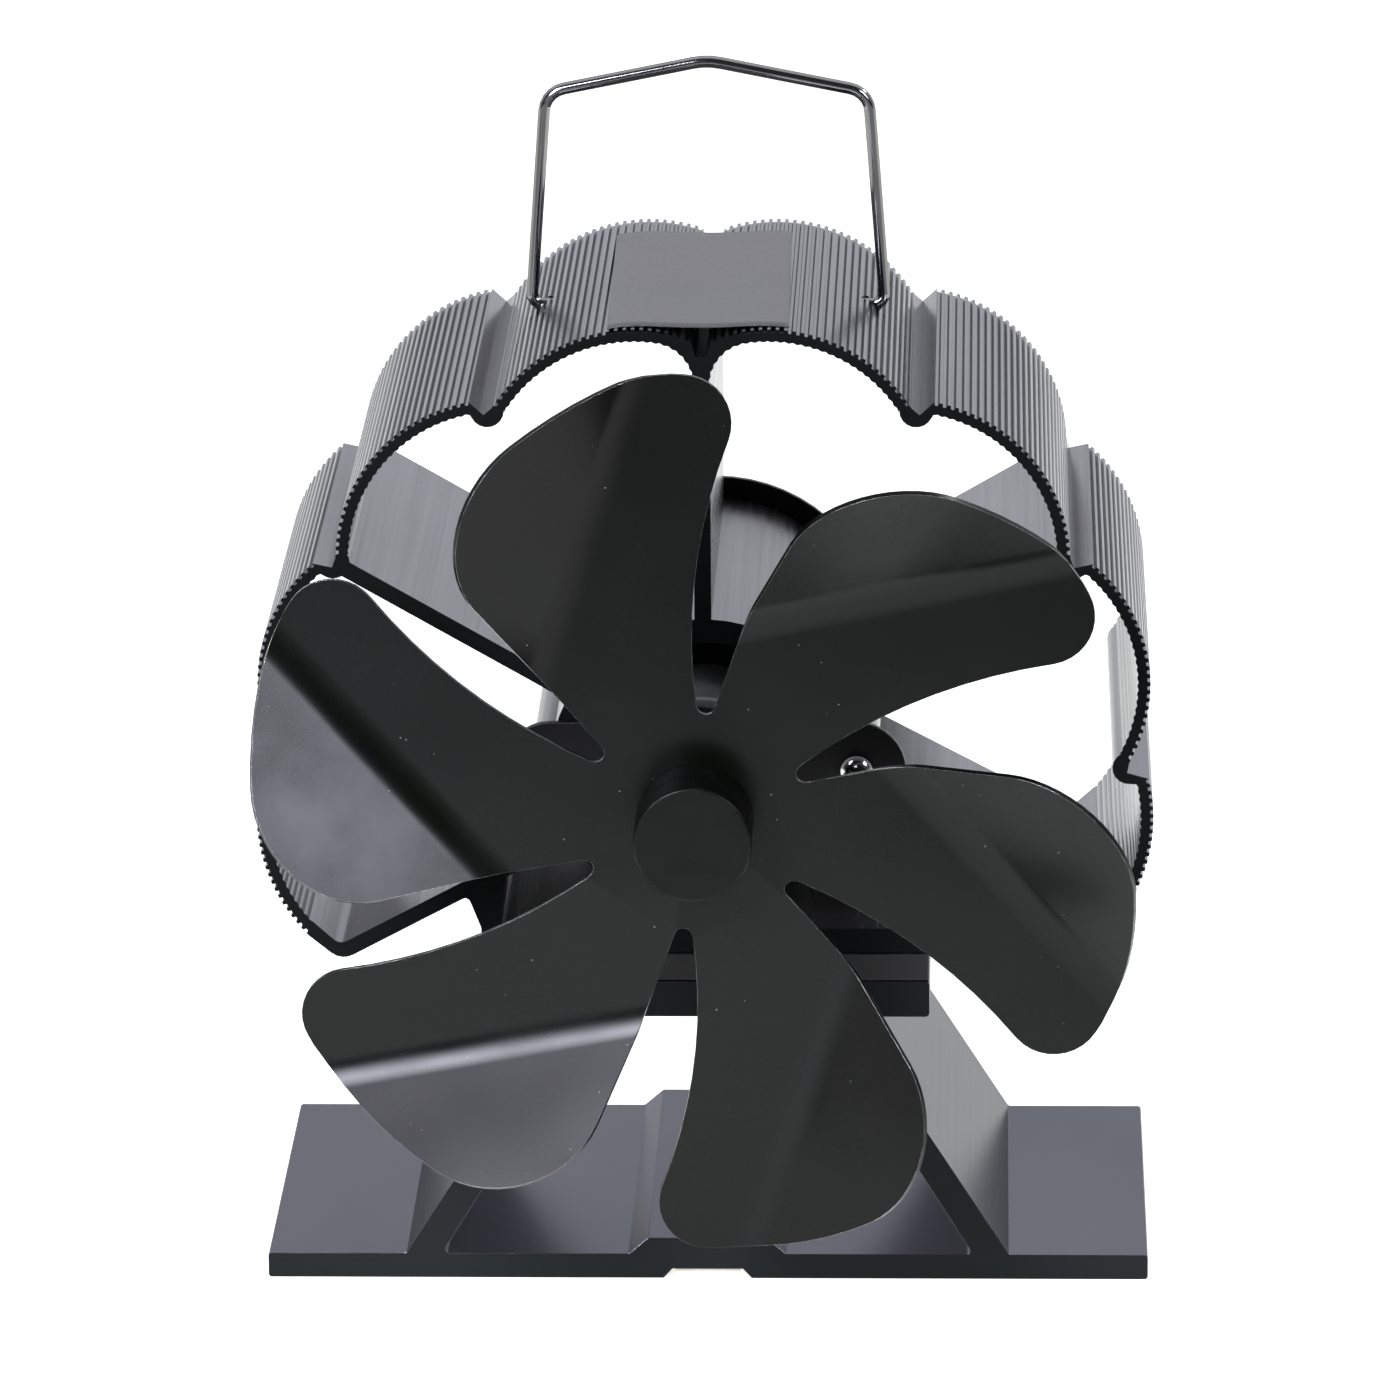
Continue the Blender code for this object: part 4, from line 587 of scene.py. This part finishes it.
def domed_head(rule, size):
    """A disc that stands on the seat, with a top that falls away towards the rim."""
    disc = add_node(rule, "GeometryNodeMeshCylinder", {
        "Vertices": HEAD_SIDES, "Side Segments": HEAD_LAYERS, "Fill Segments": HEAD_RINGS,
        "Radius": size["Head Radius"], "Depth": size["Head Height"]})
    lifted = moved(rule, disc.outputs["Mesh"], Z=maths(rule, "MULTIPLY", size["Head Height"], 0.5))
    here = parts_of(rule, add_node(rule, "GeometryNodeInputPosition").outputs["Position"])
    square = maths(rule, "ADD", maths(rule, "POWER", here["X"], 2.0), maths(rule, "POWER", here["Y"], 2.0))
    share = maths(rule, "DIVIDE", square, maths(rule, "POWER", size["Head Radius"], 2.0))
    fall = maths(rule, "MULTIPLY", maths(rule, "POWER", share, HEAD_FALL_POWER),
                 maths(rule, "MULTIPLY", here["Z"], -HEAD_FALL))
    return add_node(rule, "GeometryNodeSetPosition", {
        "Geometry": lifted, "Offset": vector_of(rule, Z=fall)}).outputs["Geometry"]


def round_shank(rule, size):
    """A rod below the seat that also reaches some way into the head."""
    into_head = maths(rule, "MULTIPLY", size["Head Height"], SHANK_IN_HEAD_SHARE)
    rod = add_node(rule, "GeometryNodeMeshCylinder", {
        "Vertices": SHANK_SIDES, "Radius": size["Shank Radius"],
        "Depth": maths(rule, "ADD", size["Shank Length"], into_head)})
    middle = maths(rule, "MULTIPLY", maths(rule, "SUBTRACT", size["Shank Length"], into_head), -0.5)
    return moved(rule, rod.outputs["Mesh"], Z=middle)


def cross_slots(rule, size):
    """Two crossed blades that grow wider upwards and stand with their lower half in the head."""
    here = parts_of(rule, add_node(rule, "GeometryNodeInputPosition").outputs["Position"])
    widening = maths(rule, "MULTIPLY", maths(rule, "DIVIDE", here["Z"], size["Slot Depth"]), SLOT_TAPER)
    outwards = vector_of(rule, X=maths(rule, "MULTIPLY", here["X"], widening),
                         Y=maths(rule, "MULTIPLY", here["Y"], widening))
    thickness = maths(rule, "MULTIPLY", size["Slot Width"], SLOT_THICKNESS_SHARE)
    depth = maths(rule, "MULTIPLY", size["Slot Depth"], 2.0)
    blades = []
    for long_way, short_way in (("X", "Y"), ("Y", "X")):
        block = add_node(rule, "GeometryNodeMeshCube", {
            "Size": vector_of(rule, **{long_way: size["Slot Width"], short_way: thickness, "Z": depth})})
        tapered = add_node(rule, "GeometryNodeSetPosition", {
            "Geometry": block.outputs["Mesh"], "Offset": outwards})
        blades.append(moved(rule, tapered.outputs["Geometry"], Z=size["Head Height"]))
    return blades


print("parts of the screw rule ready")

# %% The rule for a cross-slotted screw
SCREW_SIZES = ("Head Radius", "Head Height", "Shank Radius", "Shank Length", "Slot Width", "Slot Depth")


def screw_rule(finish):
    rule = bpy.data.node_groups.new("pan_screw", "GeometryNodeTree")
    rule.interface.new_socket("Geometry", in_out="OUTPUT", socket_type="NodeSocketGeometry")
    for name in SCREW_SIZES:
        rule.interface.new_socket(name, in_out="INPUT", socket_type="NodeSocketFloat")
    size = add_node(rule, "NodeGroupInput").outputs
    whole = add_node(rule, "GeometryNodeMeshBoolean", operation="UNION", solver="EXACT")
    for part in (domed_head(rule, size), round_shank(rule, size)):
        rule.links.new(part, whole.inputs["Mesh 2"])
    cut = add_node(rule, "GeometryNodeMeshBoolean", {"Mesh 1": whole.outputs["Mesh"]},
                   operation="DIFFERENCE", solver="EXACT")
    for blade in cross_slots(rule, size):
        rule.links.new(blade, cut.inputs["Mesh 2"])
    real = add_node(rule, "GeometryNodeRealizeInstances", {"Geometry": cut.outputs["Mesh"]})
    painted = add_node(rule, "GeometryNodeSetMaterial", {
        "Geometry": real.outputs["Geometry"], "Material": finish})
    out = add_node(rule, "NodeGroupOutput")
    rule.links.new(painted.outputs["Geometry"], out.inputs["Geometry"])
    return rule


SCREW_RULE = screw_rule(SCREW_FINISH)
print("screw rule nodes:", len(SCREW_RULE.nodes))

# %% [markdown]
# ## Placing the screws
#
# Each screw takes its length and its place from the box of the plain CAD screw that it replaces. A hand
# turned each of them home, so no two crosses stand at the same angle.

# %% Make the ten screws
# Head radius, head height, shank radius, slot width and slot depth in millimetres, and where it looks
SCREW_KINDS = {
    "bracket_screw": (3.25, 2.0, 1.4, 3.3, 1.4, (0, -1, 0)),
    "motor_screw": (2.0, 1.4, 1.0, 2.1, 0.9, (0, -1, 0)),
    "cover_screw": (2.9, 1.9, 1.4, 3.0, 1.3, (0, 1, 0)),
    "clamp_screw": (2.8, 2.0, 1.45, 2.9, 1.3, (0, 0, -1)),
}
SCREW_ENDS = {"bracket_screw": ("left", "right"), "motor_screw": ("left", "right"),
              "cover_screw": ("left", "right"), "clamp_screw": (1, 2, 3, 4)}
SCREW_TURNS = (38, 12, 71, 55, 24, 83, 5, 47, 66, 30)
SCREW_SHADING = math.radians(32)
MILLIMETRE = 0.001


def make_screw(node, kind, turn):
    head_r, head_height, shank_r, slot_width, slot_depth, looks = SCREW_KINDS[kind]
    low, high = (Vector(v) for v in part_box(node))
    looks = Vector(looks)
    reach = abs((high - low).dot(looks))
    sizes = (head_r, head_height, shank_r, reach / MILLIMETRE - head_height, slot_width, slot_depth)
    name = node + "_slotted"
    piece = bpy.data.objects.new(name, bpy.data.meshes.new(name))
    bpy.context.scene.collection.objects.link(piece)
    maker = piece.modifiers.new("screw", "NODES")
    maker.node_group = SCREW_RULE
    size_of = dict(zip(SCREW_SIZES, sizes))
    for socket in SCREW_RULE.interface.items_tree:
        if socket.in_out == "INPUT":
            maker[socket.identifier] = float(size_of[socket.name])
    plain_mesh(piece, name)
    seat = (low + high) / 2 + looks * (reach / 2 - head_height * MILLIMETRE)
    facing = looks.to_track_quat("Z", "X").to_matrix().to_4x4()
    spin = Matrix.Rotation(math.radians(turn), 4, "Z")
    piece.data.transform(Matrix.Translation(seat) @ facing @ spin @ Matrix.Scale(MILLIMETRE, 4))
    piece.data.shade_smooth()
    piece.data.set_sharp_from_angle(angle=SCREW_SHADING)
    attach(piece, NODES[node]["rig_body"])
    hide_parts(node)
    return piece


screws = []
for kind, ends in SCREW_ENDS.items():
    for end in ends:
        screws.append(make_screw(f"{kind}_{end}", kind, SCREW_TURNS[len(screws)]))
print("screws:", len(screws), "faces in one:", len(screws[0].data.polygons))

# %% [markdown]
# ## The bare plate on top
#
# A thin dark plate is stuck across the tips of the two top lobes and bridges the valley between them. It is
# left bare. It follows the tips, sags a hair over the valley, and lies a fraction of a degree askew, as a
# thing placed by hand does.

# %% Shape the plate
PLATE_WIDTH = 0.0362
PLATE_LENGTH = 0.0803
PLATE_THICK = 0.00030
PLATE_CENTRE = Vector((-0.0011, STAND_MIDDLE_Y - 0.0050, 0.0))
PLATE_TURN = math.radians(0.73)
PLATE_SAG = 0.00035
PLATE_STEPS = (48, 24)
LOBE_TOP_X = 0.0125
LOBE_TIP_R = 0.0340
TIPS_HEIGHT = 0.20003


def plate_height(x):
    """Height of the plate's underside: a slight sag over the valley, falling away on the lobes."""
    outside = max(0.0, abs(x) - LOBE_TOP_X)
    sag = PLATE_SAG * max(0.0, 1 - (x / LOBE_TOP_X) ** 2) ** 2
    return TIPS_HEIGHT - (LOBE_TIP_R - math.sqrt(LOBE_TIP_R ** 2 - outside ** 2)) - sag


def plate_point(i, j):
    across = (i / PLATE_STEPS[0] - 0.5) * PLATE_WIDTH
    along = (j / PLATE_STEPS[1] - 0.5) * PLATE_LENGTH
    x = PLATE_CENTRE.x + across * math.cos(PLATE_TURN) - along * math.sin(PLATE_TURN)
    y = PLATE_CENTRE.y + across * math.sin(PLATE_TURN) + along * math.cos(PLATE_TURN)
    return x, y, plate_height(x)


plate_shape = bmesh.new()
grid = [[plate_shape.verts.new(plate_point(i, j)) for j in range(PLATE_STEPS[1] + 1)]
        for i in range(PLATE_STEPS[0] + 1)]
for line, next_line in zip(grid, grid[1:]):
    for j in range(PLATE_STEPS[1]):
        plate_shape.faces.new((line[j], next_line[j], next_line[j + 1], line[j + 1]))
plate_mesh = bpy.data.meshes.new("top_plate")
plate_shape.to_mesh(plate_mesh)
plate_shape.free()
plate_mesh.shade_smooth()
print("plate faces before it gets its thickness:", len(plate_mesh.polygons))

# %% Lay the plate
PLATE_FINISH = dull_finish("plate_satin_grey", (0.055, 0.054, 0.058), (0.066, 0.065, 0.069), 0.42, 1500)
plate_mesh.materials.append(PLATE_FINISH)
plate = bpy.data.objects.new("top_plate", plate_mesh)
bpy.context.scene.collection.objects.link(plate)
wall = plate.modifiers.new("wall", "SOLIDIFY")
wall.thickness = PLATE_THICK
wall.offset = 1
plain_mesh(plate, "top_plate")
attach(plate, "stand")
print("plate faces:", len(plate.data.polygons))

# %% [markdown]
# ## Floor
#
# The photograph looks as if it was made on a white table in a white tent, with a dark room on the camera's
# side: whatever looks up, down or back picks up white, and whatever faces the camera mirrors the table as
# far as its front edge and then the dark. The table burns out to plain white, as a sheet lit from below
# does. So the floor here glows a little, and the glow fades out a third to half a metre in front of the
# fan. That fading is what turns the upper blades blacker than the lower ones.

# %% Lay the floor
FLOOR_REACH = 9.0
FLOOR_DROP = 0.00002
GLOW = 0.76
GLOW_FADES = (-0.55, -0.32)
GLOW_COLOUR = (0.98, 1.0, 0.90, 1)
floor_shape = bmesh.new()
bmesh.ops.create_grid(floor_shape, x_segments=1, y_segments=1, size=FLOOR_REACH)
floor_mesh = bpy.data.meshes.new("studio_floor")
floor_shape.to_mesh(floor_mesh)
floor_shape.free()
floor = bpy.data.objects.new("studio_floor", floor_mesh)
floor.location.z = -FLOOR_DROP
bpy.context.scene.collection.objects.link(floor)
FLOOR_FINISH = dull_finish("floor_pale", (0.80, 0.80, 0.80), (0.82, 0.82, 0.82), 0.75, 40)
floor_tree = FLOOR_FINISH.node_tree
floor_depth = parts_of(floor_tree, add_node(floor_tree, "ShaderNodeTexCoord").outputs["Object"])["Y"]
glow = spread(floor_tree, floor_depth, 0.0, GLOW, *GLOW_FADES, interpolation_type="SMOOTHSTEP")
floor_shader = floor_tree.nodes["Principled BSDF"]
floor_shader.inputs["Emission Color"].default_value = GLOW_COLOUR
floor_tree.links.new(glow, floor_shader.inputs["Emission Strength"])
floor_mesh.materials.append(FLOOR_FINISH)
print("floor reaches", FLOOR_REACH, "m")

# %% [markdown]
# ## Surround
#
# The white tent is a world colour, a touch cooler than white. It is at its full strength behind the fan and
# falls to almost nothing on the camera's side, by the direction that a ray looks in.

# %% Hang the surround
TENT_COLOUR = (0.975, 0.985, 1.05, 1)
TENT_STRENGTH = (0.06, 1.0)
TENT_TURNS_WHITE = (-0.45, 0.45)
world = bpy.data.worlds.new("white_tent")
bpy.context.scene.world = world
world.use_nodes = True
sky = world.node_tree
backwards = parts_of(sky, add_node(sky, "ShaderNodeTexCoord").outputs["Generated"])["Y"]
background = sky.nodes["Background"]
background.inputs["Color"].default_value = TENT_COLOUR
sky.links.new(spread(sky, backwards, *TENT_STRENGTH, *TENT_TURNS_WHITE, interpolation_type="SMOOTHSTEP"),
              background.inputs["Strength"])
print("surround:", world.name)

# %% [markdown]
# ## Lamps
#
# One broad soft lamp hangs overhead, a little behind the fan. Two smaller ones stand in front, to the left
# and to the right, each where one scooped blade mirrors it to the camera: the low left flap shows the left
# lamp with its bright lower edge lying along the crease, and the left flap shows the right one. Their light
# is kept to a narrow cone, so that they don't brighten the table that the black blades mirror. A small lamp
# behind the fan, high on the right, lights the upper edges from the back.

# %% The rule for a soft lamp
def soft_lamp(name, spot, towards, distance, size, power, profile, colour=(1, 1, 1), spread_angle=180.0):
    """A lamp that looks at a spot. Its strength follows a profile from its low edge to its high one."""
    data = bpy.data.lights.new(name, "AREA")
    data.shape = "RECTANGLE"
    data.size, data.size_y = size
    data.energy = power
    data.color = colour
    data.spread = math.radians(spread_angle)
    data.use_nodes = True
    cloth = data.node_tree
    across = parts_of(cloth, add_node(cloth, "ShaderNodeNewGeometry").outputs["Parametric"])
    ramp = add_node(cloth, "ShaderNodeValToRGB", {"Fac": maths(cloth, "SUBTRACT", 1.0, across["X"])})
    ramp.color_ramp.interpolation = "EASE"
    stops = ramp.color_ramp.elements
    while len(stops) < len(profile):
        stops.new(0.5)
    for stop, (height, level) in zip(stops, profile):
        stop.position = height
        stop.color = (level, level, level, 1)
    cloth.links.new(ramp.outputs["Color"], cloth.nodes["Emission"].inputs["Strength"])
    lamp = bpy.data.objects.new(name, data)
    lamp.location = Vector(spot) + Vector(towards).normalized() * distance
    lamp.rotation_euler = Vector(towards).to_track_quat("Z", "Y").to_euler()
    bpy.context.scene.collection.objects.link(lamp)


print("rule for soft lamps ready")

# %% Hang the lamps
FAN_FRONT_Y = STAND_MIDDLE_Y - 0.09
LOW_LEFT_FLAP = (-0.045, FAN_FRONT_Y, 0.055)
LEFT_FLAP = (-0.080, FAN_FRONT_Y, 0.125)
HUB_TOP = (0.005, FAN_FRONT_Y, 0.119)
BEHIND_STAND = (0.0, 0.45, 0.0)
LILAC = (0.95, 0.95, 1.10)
NARROW_CONE = 45
BRIGHT_LOWER_EDGE = ((0.0, 0.0), (0.20, 0.90), (0.42, 0.92), (0.66, 0.66), (1.0, 0.42))
SOFT_ENDS = ((0.0, 0.0), (0.40, 0.7), (0.75, 1.0), (1.0, 0.6))
EVEN = ((0.0, 1.0), (1.0, 1.0))
soft_lamp("left_softbox", LOW_LEFT_FLAP, towards=(-0.40, -0.78, 0.48), distance=1.15, size=(0.46, 0.86),
          power=3.9, profile=BRIGHT_LOWER_EDGE, colour=LILAC, spread_angle=NARROW_CONE)
soft_lamp("right_softbox", LEFT_FLAP, towards=(0.71, -0.50, 0.50), distance=1.12, size=(0.36, 0.40),
          power=0.64, profile=SOFT_ENDS, colour=LILAC, spread_angle=NARROW_CONE)
soft_lamp("rim_lamp", HUB_TOP, towards=(0.643, 0.374, 0.668), distance=1.2, size=(0.14, 0.14),
          power=2.6, profile=EVEN)
soft_lamp("overhead_softbox", BEHIND_STAND, towards=(0.0, 0.0, 1.0), distance=1.3, size=(2.2, 1.3),
          power=2.0, profile=EVEN)
print("lights:", len(bpy.data.lights))

# %% Finish
bpy.context.view_layer.update()
